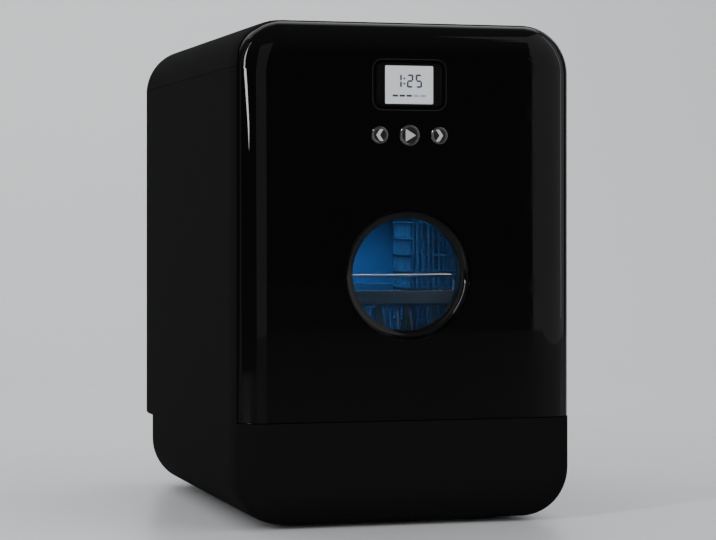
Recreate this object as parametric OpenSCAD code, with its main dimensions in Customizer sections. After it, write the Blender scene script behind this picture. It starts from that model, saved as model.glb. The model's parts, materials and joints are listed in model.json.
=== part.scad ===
// Countertop dishwasher: a tall casing with a full-height hinged front door, a round window,
// a display with three push buttons, a water tank with a fill lid, and a slide-out basket.
// X runs to the right, Y to the back and Z up. The origin is on the counter, under the middle
// of the casing. A depth counted from the front plane is called "deep" below.

/* [Casing] */
// Overall width
body_w = 340; // [330:1:360]
// Overall depth
body_d = 480; // [470:1:510]
// Overall height, feet included
body_h = 488; // [478:1:510]
// Corner radius of the outline seen from the front
corner_r = 49; // [46:1:54]
// Thickness of the casing walls
wall = 3; // [2.6:0.1:3.4]
// Height of the base's top edge, where the door begins
seam_z = 102; // [98:1:106]
// Height of the top cover, down to its joint with the housing
cover_h = 46.5; // [44:0.5:49]
// Rounding of the upper casing's back edges
back_r = 20; // [16:1:24]
// How far the base's back stands in from the upper casing's back
step_d = 36; // [32:1:40]
// Height of the underside of the overhang at the back
step_z = 78; // [74:1:82]
// Rounding under that overhang
step_r = 28; // [22:1:32]
// Rounding of the base's lower back edge
tail_r = 35; // [28:1:38]
// Height of the feet
foot_h = 3; // [2:0.5:5]
// Radius of a foot
foot_r = 13; // [10:1:16]

/* [Front edge] */
// Width of the rounding round the front, measured across the front
edge_in = 35; // [32:1:38]
// Depth of that rounding, measured along the side
edge_back = 41; // [39:1:43]
// Radius of its softest stretch, next to the side
edge_soft_r = 160; // [150:5:170]
// Angle that the softest stretch turns through
edge_soft_a = 8; // [7:0.5:9]
// Angle at which the tight stretch gives way to the front's
edge_mid_a = 53; // [50:1:56]

/* [Door] */
// Depth of the door's back plane behind the front plane
door_deep = 19; // [18:0.5:20]
// How far the door's skin stands in from the base's surface
door_inset = 0.8; // [0.4:0.1:1.2]
// Gap between the door and what is round it
door_gap = 0.8; // [0.6:0.1:1]
// Thickness of the door's skin
skin_t = 2.6; // [2.2:0.1:3]
// Distance of the hinge axis from the left side, and its depth
hinge_in = 14; // [13:0.5:15]
// Radius of the rounded hinge edge of the door
knuckle_r = 10; // [9.5:0.1:10.4]
// Radius of the hinge pins
pin_r = 2.5; // [2:0.1:2.7]
// How far the door opens, in degrees
door_swing = 105; // [80:1:105]
// Radial clearance of a running fit
run_fit = 0.05; // [0.02:0.01:0.08]
// Clearance between fixed pieces that slip together
slip = 0.2; // [0.1:0.05:0.3]

/* [Window and controls] */
// Height of the window's centre above the base's top edge
window_up = 141; // [138:1:144]
// Radius of the visible glass
window_r = 54.5; // [50:0.5:57]
// Width of the funnel round the glass
funnel_w = 8.7; // [6:0.1:10]
// Depth of the funnel
funnel_deep = 10; // [8:0.5:11]
// Thickness of the outer glass
glass_t = 4; // [3:0.5:4]
// Width of the display's lens
lens_w = 74.4; // [68:0.2:80]
// Height of the display's lens
lens_h = 49.6; // [45:0.2:54]
// Distance of the display's centre below the top
display_down = 62.4; // [59:0.2:66]
// Distance of the buttons below the top
button_down = 111; // [108:1:114]
// Radius of the middle button
play_r = 10.3; // [9:0.1:11]
// Radius of the side buttons
step_button_r = 8.6; // [7.5:0.1:9.5]
// Distance between neighbouring buttons
button_pitch = 30; // [28:0.5:34]
// Travel of the buttons
button_travel = 1.2; // [0.8:0.1:1.4]

/* [Wash chamber] */
// Distance of the chamber's mouth from the casing's side
mouth_in = 39; // [38:1:41]
// Height of the mouth's lower edge above the base's top edge
mouth_up = 20; // [18:1:22]
// Distance of the mouth's upper edge below the top
mouth_down = 54; // [52:1:58]
// Corner radius of the mouth
mouth_r = 26; // [22:1:30]
// Distance of the chamber's back from the casing's back
tub_back = 129; // [125:1:140]
// Thickness of the tub's walls
tub_t = 2.5; // [2:0.1:3]
// How far the tub stands out past the mouth on each side
tub_out = 8; // [7:0.5:10]
// Clearance between the spray arm's sweep and the tub's sides
spray_clear = 24.5; // [18:0.5:34]

/* [Basket] */
// Clearance between the basket and the mouth on each side
basket_side = 5; // [4:0.5:7]
// Clearance between the basket and the back of the tub
basket_end = 28.5; // [24:0.5:34]
// Height of the rim's top above the base's top edge
rim_up = 124; // [120:1:128]
// Height of the basket
basket_h = 74; // [70:1:78]
// Height of the rim's band
rim_h = 13; // [10:1:14]
// Distance between neighbouring slats
slat_pitch = 14; // [12:1:18]
// Travel of the basket as the door opens
basket_travel = 95; // [85:1:98]

/* [Water and power] */
// Width of the water tank
tank_w = 132; // [120:1:138]
// Depth of the water tank
tank_d = 88; // [80:1:92]
// Distance of the water tank's top below the casing's top
tank_down = 91; // [84:1:110]
// Radius of the water inlet's thread
inlet_r = 13.2; // [12.5:0.1:13.4]
// Radius of the drain spigot
drain_r = 9.5; // [8:0.5:11]
// Width of the fill lid
fill_w = 104; // [96:1:112]
// Length of the fill lid
fill_l = 60; // [54:1:64]

/* [Hidden] */
$fn = 48;
side_x = body_w / 2;
y_front = -body_d / 2;
y_back = body_d / 2;
z_top = body_h;
y_base_back = y_back - step_d;
cover_seam_z = z_top - cover_h;
floor_z = foot_h + wall;

function deep(d) = y_front + d;

// Front edge: three arcs, tangent to each other, solved from the width and depth of the rounding
edge_p = edge_in - edge_soft_r * (1 - cos(edge_soft_a));
edge_q = edge_back - edge_soft_r * sin(edge_soft_a);
edge_a = cos(edge_soft_a) - cos(edge_mid_a);
edge_b = cos(edge_mid_a);
edge_c = sin(edge_mid_a) - sin(edge_soft_a);
edge_d = 1 - sin(edge_mid_a);
edge_det = edge_a * edge_d - edge_b * edge_c;
edge_tight_r = (edge_p * edge_d - edge_b * edge_q) / edge_det;
edge_front_r = (edge_a * edge_q - edge_c * edge_p) / edge_det;

// Points of a section are kept to whole microns, so that neighbouring faces share them
function micron(v) = round(v * 1000) / 1000;
function outward(c, r, a) = [c[0] - r * cos(a), c[1] - r * sin(a)];
function sweep(c, r, a0, a1, n) = [for (i = [0:n]) outward(c, r, a0 + (a1 - a0) * i / n)];

soft_c = [edge_soft_r, edge_back];
tight_c = outward(soft_c, edge_soft_r - edge_tight_r, edge_soft_a);
front_c = outward(tight_c, edge_tight_r - edge_front_r, edge_mid_a);

// Section of the front edge as [inset, y], from the front plane to the side, t inside the surface
function rim(t) = [for (p = concat(
    sweep(front_c, edge_front_r - t, 90, edge_mid_a, 7),
    sweep(tight_c, edge_tight_r - t, edge_mid_a - 6, edge_soft_a, 5),
    sweep(soft_c, edge_soft_r - t, edge_soft_a - 2, 0, 2))) [micron(p[0]), micron(deep(p[1]))]];

// Section of a back edge as [inset, y], from the side to the back plane at y
function tail(t, y, r) = [for (i = [0:6]) [micron(r - (r - t) * cos(15 * i)),
    micron(y - r + (r - t) * sin(15 * i))]];

// Heights and depths that several pieces share
y_door = deep(door_inset);
y_part = deep(door_deep);
y_edge = y_part + door_gap;
hinge_x = -side_x + hinge_in;
hinge_y = deep(hinge_in);
cove_r = knuckle_r + door_gap / 2;
lip_deep = hinge_in + 1.8;
seal_h = 6;
y_frame = y_part + seal_h;
frame_t = 4;
y_tub = y_frame + frame_t;
door_z = seam_z + door_gap;
window_z = seam_z + window_up;
display_z = z_top - display_down;
button_z = z_top - button_down;
mouth_z = seam_z + mouth_up;
mouth_w = body_w - 2 * mouth_in;
mouth_h = z_top - mouth_down - mouth_z;
mouth_mid = mouth_z + mouth_h / 2;
touch = 0.3;

// Door
liner_in = door_inset + skin_t + slip;
flange_t = 4;
pan_t = 3;
pan_gap = 3;
pan_w = mouth_w - 2 * pan_gap;
pan_h = mouth_h - 2 * pan_gap;
pan_r = mouth_r - pan_gap;
pan_out = 14;
y_flange = y_part - flange_t;
y_pan = y_part + pan_out;
bezel_r = window_r + funnel_w + door_inset;
glass_r = window_r + 5.5;
y_glass = y_door + funnel_deep;
y_glass_back = y_glass + glass_t;
seal_t = 1.4;
y_tube = y_glass_back + seal_t;
tube_in = window_r + 2.5;
tube_out = bezel_r;
inner_glass_r = tube_in + 3.2;
inner_glass_t = 3;
lens_r = 10;
lens_t = 1.5;
lens_set = 0.3;
lens_ledge = 4;
panel_t = 6;
y_lens_back = y_door + lens_set + lens_t;
y_panel = y_lens_back + slip;
y_board = y_panel + panel_t;
board_t = 1.6;
board_w = 116;
board_lo = button_z - 16;
board_hi = display_z + 28;
post_r = 3.5;
post_in = 8;
bush_r = pin_r + 1.1;
eye_r = 3.8;
bush_l = 12;
bracket_z = cover_seam_z - 17;
bracket_t = 3;
notch_gap = 0.6;
arm_a = 60;
arm_w = 5;
arm_l = (y_frame - hinge_y - arm_w / 2 * cos(arm_a)) / sin(arm_a);
bracket_x0 = hinge_x + 5.3;
bracket_x1 = bracket_x0 + 9;
magnet_w = 10;
magnet_l = 36;
magnet_x = side_x - 21;
cup_w = 50;
cup_h = 34;
cup_x = 0;
cup_z = window_z + bezel_r + 24;
lid_t = 1.6;

// Chamber
tub_w = mouth_w + 2 * tub_out;
deck_z = seam_z + 2;
deck_t = 3;
tub_z = deck_z + deck_t;
tub_top = mouth_z + mouth_h + tub_out;
tub_r = 30;
y_tub_back = y_back - tub_back;
tub_mid = (y_tub + y_tub_back) / 2;
tub_in = tub_w / 2 - tub_t;
sump_x = mouth_w / 4 - 40.5;
sump_y = tub_mid - 25;
sump_w = mouth_w / 2 + 5;
sump_l = 146;
sump_t = 4;
sump_z = tub_z - 45;
plate_w = sump_w - 3;
plate_l = sump_l - 3;
plate_t = 2;
hub_x = 0;
hub_y = tub_mid + 5;
hub_r = 9;
journal_r = 6;
arm_z = tub_z + 14;
arm_h = 9;
spray_r = tub_in - spray_clear;
filter_x = sump_x + sump_w / 2 - 36;
filter_y = sump_y - 34;
filter_r = 24;
lamp_y = y_tub + 70;

// Basket
rim_z = seam_z + rim_up;
basket_z = rim_z - basket_h;
basket_r = 20;
basket_y = y_pan + 17;
basket_back = y_tub_back - tub_t - basket_end;
basket_w = mouth_w - 2 * basket_side;
basket_l = basket_back - basket_y;
basket_mid = basket_y + basket_l / 2;
rim_t = 4;
rail_h = 8;
rail_z = rim_z - rim_h - touch - rail_h;
rail_in = basket_w / 2 - 5;
grid_t = 3;
foot_ring = 4;
slat_w = 4;
slat_t = 3;
basket_floor = basket_z + grid_t;
stop_y = basket_back - 40;
cutlery_w = 60;
cutlery_l = 70;
cutlery_x = basket_w / 2 - 14 - cutlery_w / 2;
cutlery_y = basket_mid + 17;
cutlery_top = rim_z + 77;
mesh_pitch = 5.7;
mesh_t = 1.3;
tine_pitch = 14;
tine_x0 = 36 - basket_w / 2;
tine_n = floor((cutlery_x - cutlery_w / 2 - 16 - tine_x0) / tine_pitch);

// Base and back
base_plate_t = 2;
base_top = floor_z + base_plate_t;
foot_x = side_x - corner_r - 21;
hatch_x = foot_x - 15;
hatch_y0 = deep(100);
hatch_y1 = y_base_back - 94;
hatch_lap = 8;
foot_y0 = deep(75);
foot_y1 = y_base_back - tail_r - 29;
post_x = side_x - corner_r - 13;
conn_z = foot_h + tail_r + 20;
inlet_x = -70;
drain_x = 68;
power_x = side_x - 45;
cover_w = 2 * (side_x - back_r - 32);
cover_z0 = step_z + 40;
cover_z1 = cover_seam_z - 17.5;
cover_r = 14;
ledge_t = 3;
ledge_w = 9;
screw_r = 1.6;
screw_in = 5;

// Tank and fill lid
tank_x = 1 - side_x / 2;
tank_y = y_tub_back + 17 + tank_d / 2;
tank_t = 2.5;
tank_top = z_top - tank_down;
neck_r = 17;
fill_x = tank_x + 20;
fill_y = tank_y;
well_t = 4;
well_deep = 14;
lid_knuckle = 4;
lid_plate_t = 3;
lid_pin_r = 2;
fill_gap = 0.5;

// Pumps and hoses under the deck
wash_y = sump_back() + 64;
wash_r = 24;
wash_z = base_top + 29;
volute_r = 29;
volute_x = -22;
volute_w = 22;
suction_x = 25;
suction_bend = 11;
suction_z = tub_z - 27;
pipe_r = 8;
wash_pipe_x = volute_x + volute_w / 2;
wash_pipe_z = tub_z - 27;
drain_pump_y = sump_back() + 50;
drain_pump_z = conn_z - 18;
drain_suction_z = drain_pump_z + 30;
valve_y = y_base_back - 34;
tank_hose_x = -38;
tank_hose_y = tank_y - 30;

// ---- Shared forms ----

// A block whose front view is the casing's outline and whose edge follows pts, [inset, y]
module pillow(pts) {
    last = len(pts) - 1;
    mid_x = side_x - corner_r;
    low_z = foot_h + corner_r;
    high_z = z_top - corner_r;
    translate([0, 0, low_z])
        linear_extrude(high_z - low_z)
            polygon(concat([for (p = pts) [side_x - p[0], p[1]]],
                [for (i = [last:-1:0]) [pts[i][0] - side_x, pts[i][1]]]));
    rotate([0, -90, 0])
        linear_extrude(2 * mid_x, center = true)
            polygon(concat([for (p = pts) [z_top - p[0], p[1]]],
                [for (i = [last:-1:0]) [foot_h + pts[i][0], pts[i][1]]]));
    for (k = [0:3])
        translate([(k == 0 || k == 3) ? mid_x : -mid_x, 0, k < 2 ? low_z : high_z])
            rotate([0, 90 * k, 0])
                rotate([-90, 0, 0])
                    rotate_extrude(angle = 90)
                        polygon(concat([[0, pts[0][1]]],
                            [for (p = pts) [corner_r - p[0], p[1]]], [[0, pts[last][1]]]));
}

// A side view, [y, z], drawn across the whole width
module across(pts) {
    rotate([90, 0, 90])
        linear_extrude(body_w + 2, center = true)
            polygon(pts);
}

// A box from one corner to the other
module block(a, b) {
    translate(a)
        cube(b - a);
}

// A rounded rectangle standing in the XZ plane at (x, z), from depth y0 to y1
module panel(x, z, w, h, r, y0, y1) {
    translate([x, y1, z])
        rotate([90, 0, 0])
            linear_extrude(y1 - y0)
                rounded(w, h, r);
}

// A rounded rectangle lying flat at (x, y), from z0 to z1
module slab(x, y, w, l, r, z0, z1) {
    translate([x, y, z0])
        linear_extrude(z1 - z0)
            rounded(w, l, r);
}

module rounded(w, h, r) {
    union() {
        square([w - 2 * r, h], center = true);
        square([w, h - 2 * r], center = true);
        for (sx = [-1, 1], sy = [-1, 1])
            translate([sx * (w / 2 - r), sy * (h / 2 - r)])
                circle(r = r);
    }
}

// Round bars along each axis, from a start point
module bar_x(p, r, l) {
    translate(p)
        rotate([0, 90, 0])
            cylinder(r = r, h = l);
}

module bar_y(p, r, l) {
    translate(p)
        rotate([-90, 0, 0])
            cylinder(r = r, h = l);
}

module bar_z(p, r, l) {
    translate(p)
        cylinder(r = r, h = l);
}

// ---- Casing ----

module base_form(t) {
    intersection() {
        pillow(concat(rim(t), tail(t, y_base_back, back_r)));
        across(concat([[y_front - 1, foot_h - 1], [y_base_back - tail_r, foot_h - 1]],
            [for (i = [0:6]) [micron(y_base_back - tail_r + (tail_r - t) * sin(15 * i)),
                micron(foot_h + tail_r - (tail_r - t) * cos(15 * i))]],
            [[y_base_back + 1, foot_h + tail_r], [y_base_back + 1, seam_z - t],
                [y_front - 1, seam_z - t]]));
    }
}

// The casing above the base; y0 is its front, and y1 its front below the door's lower edge
module upper_form(t, y0, y1) {
    intersection() {
        pillow(concat(rim(t), tail(t, y_back, back_r)));
        across(concat([[y1, step_z + t], [y_back - step_r, step_z + t]],
            [for (i = [1:6]) [micron(y_back - step_r + (step_r - t) * sin(15 * i)),
                micron(step_z + step_r - (step_r - t) * cos(15 * i))]],
            [[y_back + 1, step_z + step_r], [y_back + 1, z_top + 1], [y0, z_top + 1],
                [y0, seam_z], [y1, seam_z]]));
    }
}

module casing_shell() {
    difference() {
        union() {
            base_form(0);
            upper_form(0, deep(lip_deep), y_tub);
        }
        base_form(wall);
        upper_form(wall, deep(lip_deep) - 5, y_tub);
        block([hinge_x, y_front - 1, seam_z], [side_x + 1, y_edge, z_top + 1]);
        bar_z([hinge_x, hinge_y, seam_z], cove_r, z_top);
    }
}

module housing() {
    cover_mid = (cover_z0 + cover_z1) / 2;
    cover_tall = cover_z1 - cover_z0;
    color("#17171a")
        difference() {
            union() {
                casing_shell();
                // Ledge the rear cover rests on
                panel(0, cover_mid, cover_w + 6, cover_tall + 6, cover_r + 3,
                    y_back - wall - ledge_t, y_back - wall + 1);
            }
            block([-side_x - 1, y_front - 1, cover_seam_z], [side_x + 1, y_back + 1, z_top + 1]);
            block([-hatch_x, hatch_y0, 0], [hatch_x, hatch_y1, floor_z + 1]);
            panel(0, cover_mid, cover_w, cover_tall, cover_r, y_back - wall, y_back + 1);
            panel(0, cover_mid, cover_w - 2 * ledge_w, cover_tall - 2 * ledge_w, cover_r - 6,
                y_back - wall - ledge_t - 1, y_back - wall + 1);
            for (p = cover_screw_places())
                bar_y([p[0], y_back - wall - ledge_t - 1, p[1]], screw_r, ledge_t + 2);
            for (p = foot_places())
                bar_z([p[0], p[1], 0], 4.2, floor_z + 1);
            bar_z([hinge_x, hinge_y, seam_z - wall - 1], pin_r + run_fit, wall + 2);
            bar_y([inlet_x, y_base_back - wall - 1, conn_z], inlet_r + slip, wall + 2);
            bar_y([drain_x, y_base_back - wall - 1, conn_z], drain_r + slip, wall + 2);
            panel(power_x, conn_z, 27.4, 20.4, 3, y_base_back - wall - 1, y_base_back + 1);
            for (p = base_screw_places())
                bar_z([p[0], p[1], 0], screw_r, floor_z + 1);
        }
}

function foot_places() = [for (x = [-foot_x, foot_x], y = [foot_y0, foot_y1]) [x, y]];
function base_screw_places() = [for (x = [-hatch_x - 4, hatch_x + 4],
    y = [hatch_y0 + 20, (hatch_y0 + hatch_y1) / 2, hatch_y1 - 20]) [x, y]];
function cover_screw_places() = [for (x = [-1, 1] * (cover_w / 2 - screw_in),
    z = [cover_z0 + 24, (cover_z0 + cover_z1) / 2, cover_z1 - 24]) [x, z]];

module top_cover() {
    color("#17171a")
        union() {
            difference() {
                casing_shell();
                block([-side_x - 1, y_front - 1, 0], [side_x + 1, y_back + 1, cover_seam_z + 0.4]);
                block(well_low(0, z_top - wall - 1), well_high(0, z_top + 1));
                lid_bore();
            }
            difference() {
                block(well_low(well_t, z_top - well_deep - 2), well_high(well_t, z_top - wall));
                block(well_low(0, z_top - well_deep), well_high(0, z_top));
                bar_z([fill_x, fill_y, z_top - well_deep - 3], 20, 4);
                lid_bore();
            }
            // Rest for the lid's front edge
            block([fill_x - fill_w / 2, fill_y - fill_l / 2 - fill_gap, z_top - well_deep],
                [fill_x + fill_w / 2, fill_y - fill_l / 2 + 1.5, z_top - lid_plate_t - touch]);
        }
}

module lid_bore() {
    bar_x([fill_x - fill_w / 2 - well_t, hinge_lid_y(), z_top - lid_knuckle], lid_pin_r + run_fit,
        fill_w + 2 * well_t);
}

function well_low(t, z) = [fill_x - fill_w / 2 - fill_gap - t, fill_y - fill_l / 2 - fill_gap - t, z];
function well_high(t, z) = [fill_x + fill_w / 2 + fill_gap + t, fill_y + fill_l / 2 + fill_gap + t, z];
function hinge_lid_y() = fill_y + fill_l / 2 - lid_knuckle;

module fill_lid() {
    color("#1c1c1f")
        difference() {
            union() {
                block([fill_x - fill_w / 2, fill_y - fill_l / 2, z_top - lid_plate_t],
                    [fill_x + fill_w / 2, hinge_lid_y(), z_top]);
                bar_x([fill_x - fill_w / 2, hinge_lid_y(), z_top - lid_knuckle], lid_knuckle, fill_w);
                bar_x([fill_x - fill_w / 2 - 3, hinge_lid_y(), z_top - lid_knuckle], lid_pin_r,
                    fill_w + 6);
            }
            // Scoop for a fingertip
            translate([fill_x, fill_y - fill_l / 2 + 4, z_top + 7])
                sphere(r = 9);
        }
}

module rear_cover() {
    color("#1c1c1f")
        difference() {
            panel(0, (cover_z0 + cover_z1) / 2, cover_w - 2 * slip, cover_z1 - cover_z0 - 2 * slip,
                cover_r - slip, y_back - wall, y_back);
            for (k = [0:11], sx = [-1, 1])
                panel(sx * 52, cover_z0 + 60 + 11 * k, 64, 5, 2.4, y_back - wall - 1, y_back + 1);
            for (p = cover_screw_places())
                bar_y([p[0], y_back - wall - 1, p[1]], screw_r + slip, wall + 2);
            for (p = cover_screw_places())
                bar_y([p[0], y_back - 1.6, p[1]], 3.6, 2);
        }
}

module rear_cover_screws() {
    color("#8d8f93")
        for (p = cover_screw_places())
            union() {
                bar_y([p[0], y_back - wall - ledge_t, p[1]], screw_r - 0.02, wall + ledge_t - 0.4);
                difference() {
                    bar_y([p[0], y_back - 1.6, p[1]], 3.3, 1.4);
                    block([p[0] - 2.4, y_back - 0.8, p[1] - 0.5], [p[0] + 2.4, y_back, p[1] + 0.5]);
                }
            }
}

module base_plate() {
    color("#2a2b2e")
        difference() {
            block([-hatch_x - hatch_lap, hatch_y0 - hatch_lap, floor_z],
                [hatch_x + hatch_lap, hatch_y1 + hatch_lap, base_top]);
            for (k = [0:7])
                block([-50, hatch_y0 + 30 + 12 * k, floor_z - 1],
                    [50, hatch_y0 + 35 + 12 * k, base_top + 1]);
            for (p = base_screw_places())
                bar_z([p[0], p[1], floor_z - 1], screw_r + slip, base_plate_t + 2);
        }
}

module base_screws() {
    color("#8d8f93")
        for (p = base_screw_places())
            union() {
                bar_z([p[0], p[1], foot_h], screw_r - 0.02, wall + base_plate_t + 0.01);
                bar_z([p[0], p[1], base_top], 3.3, 2);
            }
}

module feet() {
    color("#0c0c0c")
        for (p = foot_places())
            translate([p[0], p[1], 0])
                rotate_extrude()
                    polygon([[0, 0], [foot_r - 1, 0], [foot_r, 1], [foot_r, foot_h], [4, foot_h],
                        [4, floor_z], [0, floor_z]]);
}

module chassis_deck() {
    x = side_x - wall - 3;
    color("#3a3c40")
        difference() {
            union() {
                block([-x, y_tub + 6, deck_z], [x, y_back - wall - 14, deck_z + deck_t]);
                for (p = deck_posts())
                    bar_z([p[0], p[1], floor_z], 7, deck_z - floor_z);
                for (sx = [-1, 1])
                    block([sx * post_x - 1.5, deck_posts()[0][1], deck_z - 14],
                        [sx * post_x + 1.5, deck_posts()[1][1], deck_z]);
            }
            slab(sump_x, sump_y, sump_w + 14, sump_l + 14, 16, deck_z - 20, deck_z + deck_t + 1);
            bar_z([inlet_x, valve_y, deck_z - 1], 8, deck_t + 2);
            bar_z([tank_hose_x, tank_hose_y, deck_z - 1], 8, deck_t + 2);
        }
}

function deck_posts() = [for (x = [-post_x, post_x], y = [deep(130), y_base_back - 62]) [x, y]];

// ---- Front frame and chamber ----

module front_frame() {
    color("#232427")
        difference() {
            intersection() {
                pillow(rim(wall + slip));
                block([-side_x, y_frame, seam_z], [side_x, y_tub, z_top]);
            }
            panel(0, mouth_mid, mouth_w, mouth_h, mouth_r, y_frame - 1, y_tub + 1);
            for (z = bracket_screws())
                bar_y([(bracket_x0 + bracket_x1) / 2, y_frame - 1, z], screw_r, frame_t + 2);
        }
}

module door_gasket() {
    color("#5b5d61")
        difference() {
            union() {
                panel(0, mouth_mid, mouth_w + 20, mouth_h + 20, mouth_r + 10, y_frame - 2, y_frame);
                panel(0, mouth_mid, mouth_w + 14, mouth_h + 14, mouth_r + 7, y_part + touch, y_frame);
            }
            panel(0, mouth_mid, mouth_w + 2, mouth_h + 2, mouth_r + 1, y_part, y_frame + 1);
        }
}

module upper_hinge_bracket() {
    color("#a4a7ab")
        difference() {
            union() {
                translate([hinge_x, hinge_y, bracket_z])
                    rotate([0, 0, arm_a])
                        translate([0, -arm_w / 2, 0])
                            cube([arm_l, arm_w, bracket_t]);
                bar_z([hinge_x, hinge_y, bracket_z], eye_r, bracket_t);
                bar_z([hinge_x, hinge_y, bracket_z], pin_r, bush_l + bracket_t);
                block([bracket_x0, y_frame - 2, bracket_z - 26], [bracket_x1, y_frame, bracket_z + 12]);
            }
            for (z = bracket_screws())
                bar_y([(bracket_x0 + bracket_x1) / 2, y_frame - 3, z], screw_r + slip, 4);
        }
}

function bracket_screws() = [bracket_z - 20, bracket_z - 9];

module hinge_screws() {
    x = (bracket_x0 + bracket_x1) / 2;
    color("#8d8f93")
        for (z = bracket_screws())
            union() {
                bar_y([x, y_frame - 2, z], screw_r - 0.02, 2 + frame_t + 2);
                bar_y([x, y_frame - 3.4, z], 3, 1.4);
            }
}

module lower_hinge_pin() {
    color("#a4a7ab")
        union() {
            bar_z([hinge_x, hinge_y, seam_z - wall], pin_r, wall + door_gap + bush_l + 2);
            bar_z([hinge_x, hinge_y, seam_z - wall - 2], pin_r + 1.9, 2);
        }
}

function magnet_places() = [window_z - 110, window_z + 110];

module strike_plates() {
    color("#b4b7ba")
        for (z = magnet_places())
            block([magnet_x - magnet_w / 2, y_part + touch, z - magnet_l / 2],
                [magnet_x + magnet_w / 2, y_frame, z + magnet_l / 2]);
}

module tub() {
    mid = (tub_z + tub_top) / 2;
    color("#9fb4c4")
        difference() {
            union() {
                panel(0, mid, tub_w, tub_top - tub_z, tub_r, y_tub, y_tub_back);
                panel(0, mid, tub_w + 8, tub_top - tub_z + 8, tub_r + 4, y_tub, y_tub + 3);
            }
            panel(0, mid, tub_w - 2 * tub_t, tub_top - tub_z - 2 * tub_t, tub_r - tub_t, y_tub - 1,
                y_tub_back - tub_t);
            slab(sump_x, sump_y, plate_w + 2 * slip, plate_l + 2 * slip, 14, tub_z - 1, tub_z + tub_t + 1);
            slab(0, lamp_y, 50 + slip, 20 + slip, 6, tub_top - tub_t - 1, tub_top + 1);
        }
}

module lamp_lens() {
    color("#bfe4ff")
        slab(0, lamp_y, 50, 20, 5.9, tub_top - tub_t, tub_top);
}

module lamp_housing() {
    color("#2b2c2f")
        difference() {
            slab(0, lamp_y, 70, 34, 8, tub_top, tub_top + 14);
            slab(0, lamp_y, 60, 24, 4, tub_top - 1, tub_top + 11);
        }
}

module runners() {
    color("#c9ced2")
        for (sx = [-1, 1])
            union() {
                block([min(sx * rail_in, sx * tub_in), y_tub + 8, rail_z],
                    [max(sx * rail_in, sx * tub_in), y_tub_back - tub_t - 12, rail_z + rail_h]);
                block([min(sx * (tub_in - 3), sx * tub_in), y_tub + 8, rail_z - 8],
                    [max(sx * (tub_in - 3), sx * tub_in), y_tub_back - tub_t - 12, rail_z + rim_h + 10]);
                for (y = [stop_y - basket_travel - 5.3, stop_y + 5.3])
                    block([min(sx * (rail_in + 6), sx * tub_in), y, rail_z + rail_h],
                        [max(sx * (rail_in + 6), sx * tub_in), y + 4, rail_z + rail_h + 12]);
            }
}

module sump() {
    color("#3f4145")
        difference() {
            union() {
                slab(sump_x, sump_y, sump_w, sump_l, 15, sump_z, tub_z);
                slab(sump_x, sump_y, sump_w + 10, sump_l + 10, 18, tub_z - 3, tub_z);
                bar_y([suction_x, sump_back() - 1, suction_z], 9, 13);
                bar_y([drain_x, sump_back() - 1, drain_suction_z], 7, 13);
            }
            slab(sump_x, sump_y, sump_w - 2 * sump_t, sump_l - 2 * sump_t, 11, sump_z + sump_t, tub_z + 1);
            bar_y([suction_x, sump_back() - 10, suction_z], 7, 30);
            bar_y([drain_x, sump_back() - 10, drain_suction_z], 5, 30);
        }
}

function sump_back() = sump_y + sump_l / 2;

module filter_plate() {
    color("#b9bcbf")
        difference() {
            slab(sump_x, sump_y, plate_w, plate_l, 13.8, tub_z, tub_z + plate_t);
            bar_z([hub_x, hub_y, tub_z - 1], hub_r + 0.4, plate_t + 2);
            bar_z([filter_x, filter_y, tub_z - 1], filter_r + 0.4, plate_t + 2);
            for (k = [0:8])
                block([sump_x - plate_w / 2 + 6.5, filter_y - 28 + 7 * k, tub_z - 1],
                    [filter_x - 44, filter_y - 25 + 7 * k, tub_z + plate_t + 1]);
            for (x = [hub_x + 23:9:sump_x + plate_w / 2 - 12])
                block([x, sump_y + 14, tub_z - 1], [x + 3, sump_y + 62, tub_z + plate_t + 1]);
        }
}

module filter_cup() {
    top = tub_z + plate_t;
    color("#55585d")
        difference() {
            union() {
                bar_z([filter_x, filter_y, top + touch], filter_r + 4, 2.4);
                bar_z([filter_x, filter_y, sump_z + sump_t + 2], filter_r, top - sump_z - sump_t);
                block([filter_x - filter_r, filter_y - 2, top + 2],
                    [filter_x + filter_r, filter_y + 2, top + 9]);
            }
            bar_z([filter_x, filter_y, sump_z + sump_t + 4], filter_r - 2, top - sump_z - sump_t - 3);
            for (k = [0:11])
                translate([filter_x, filter_y, sump_z + sump_t + 4])
                    rotate([0, 0, 30 * k + 15])
                        translate([filter_r - 4, -2, 0])
                            cube([6, 4, 30]);
            for (k = [-2, -1, 1, 2], y = [filter_y - 12, filter_y + 4])
                block([filter_x - 2 + 7 * k, y, top - 1], [filter_x + 1 + 7 * k, y + 8, top + 4]);
        }
}

module spray_hub() {
    color("#4a4c50")
        difference() {
            union() {
                bar_z([hub_x, hub_y, sump_z + sump_t], hub_r, arm_z - touch - sump_z - sump_t);
                bar_z([hub_x, hub_y, arm_z - 1], journal_r, arm_h + 2 + touch);
                bar_z([hub_x, hub_y, arm_z + arm_h + touch], hub_r, 3);
                bar_z([hub_x, hub_y, arm_z + arm_h + touch + 3], hub_r - 3, 1);
            }
            bar_z([hub_x, hub_y, sump_z + sump_t - 1], journal_r - 2, arm_z + arm_h - sump_z - sump_t);
        }
}

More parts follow.
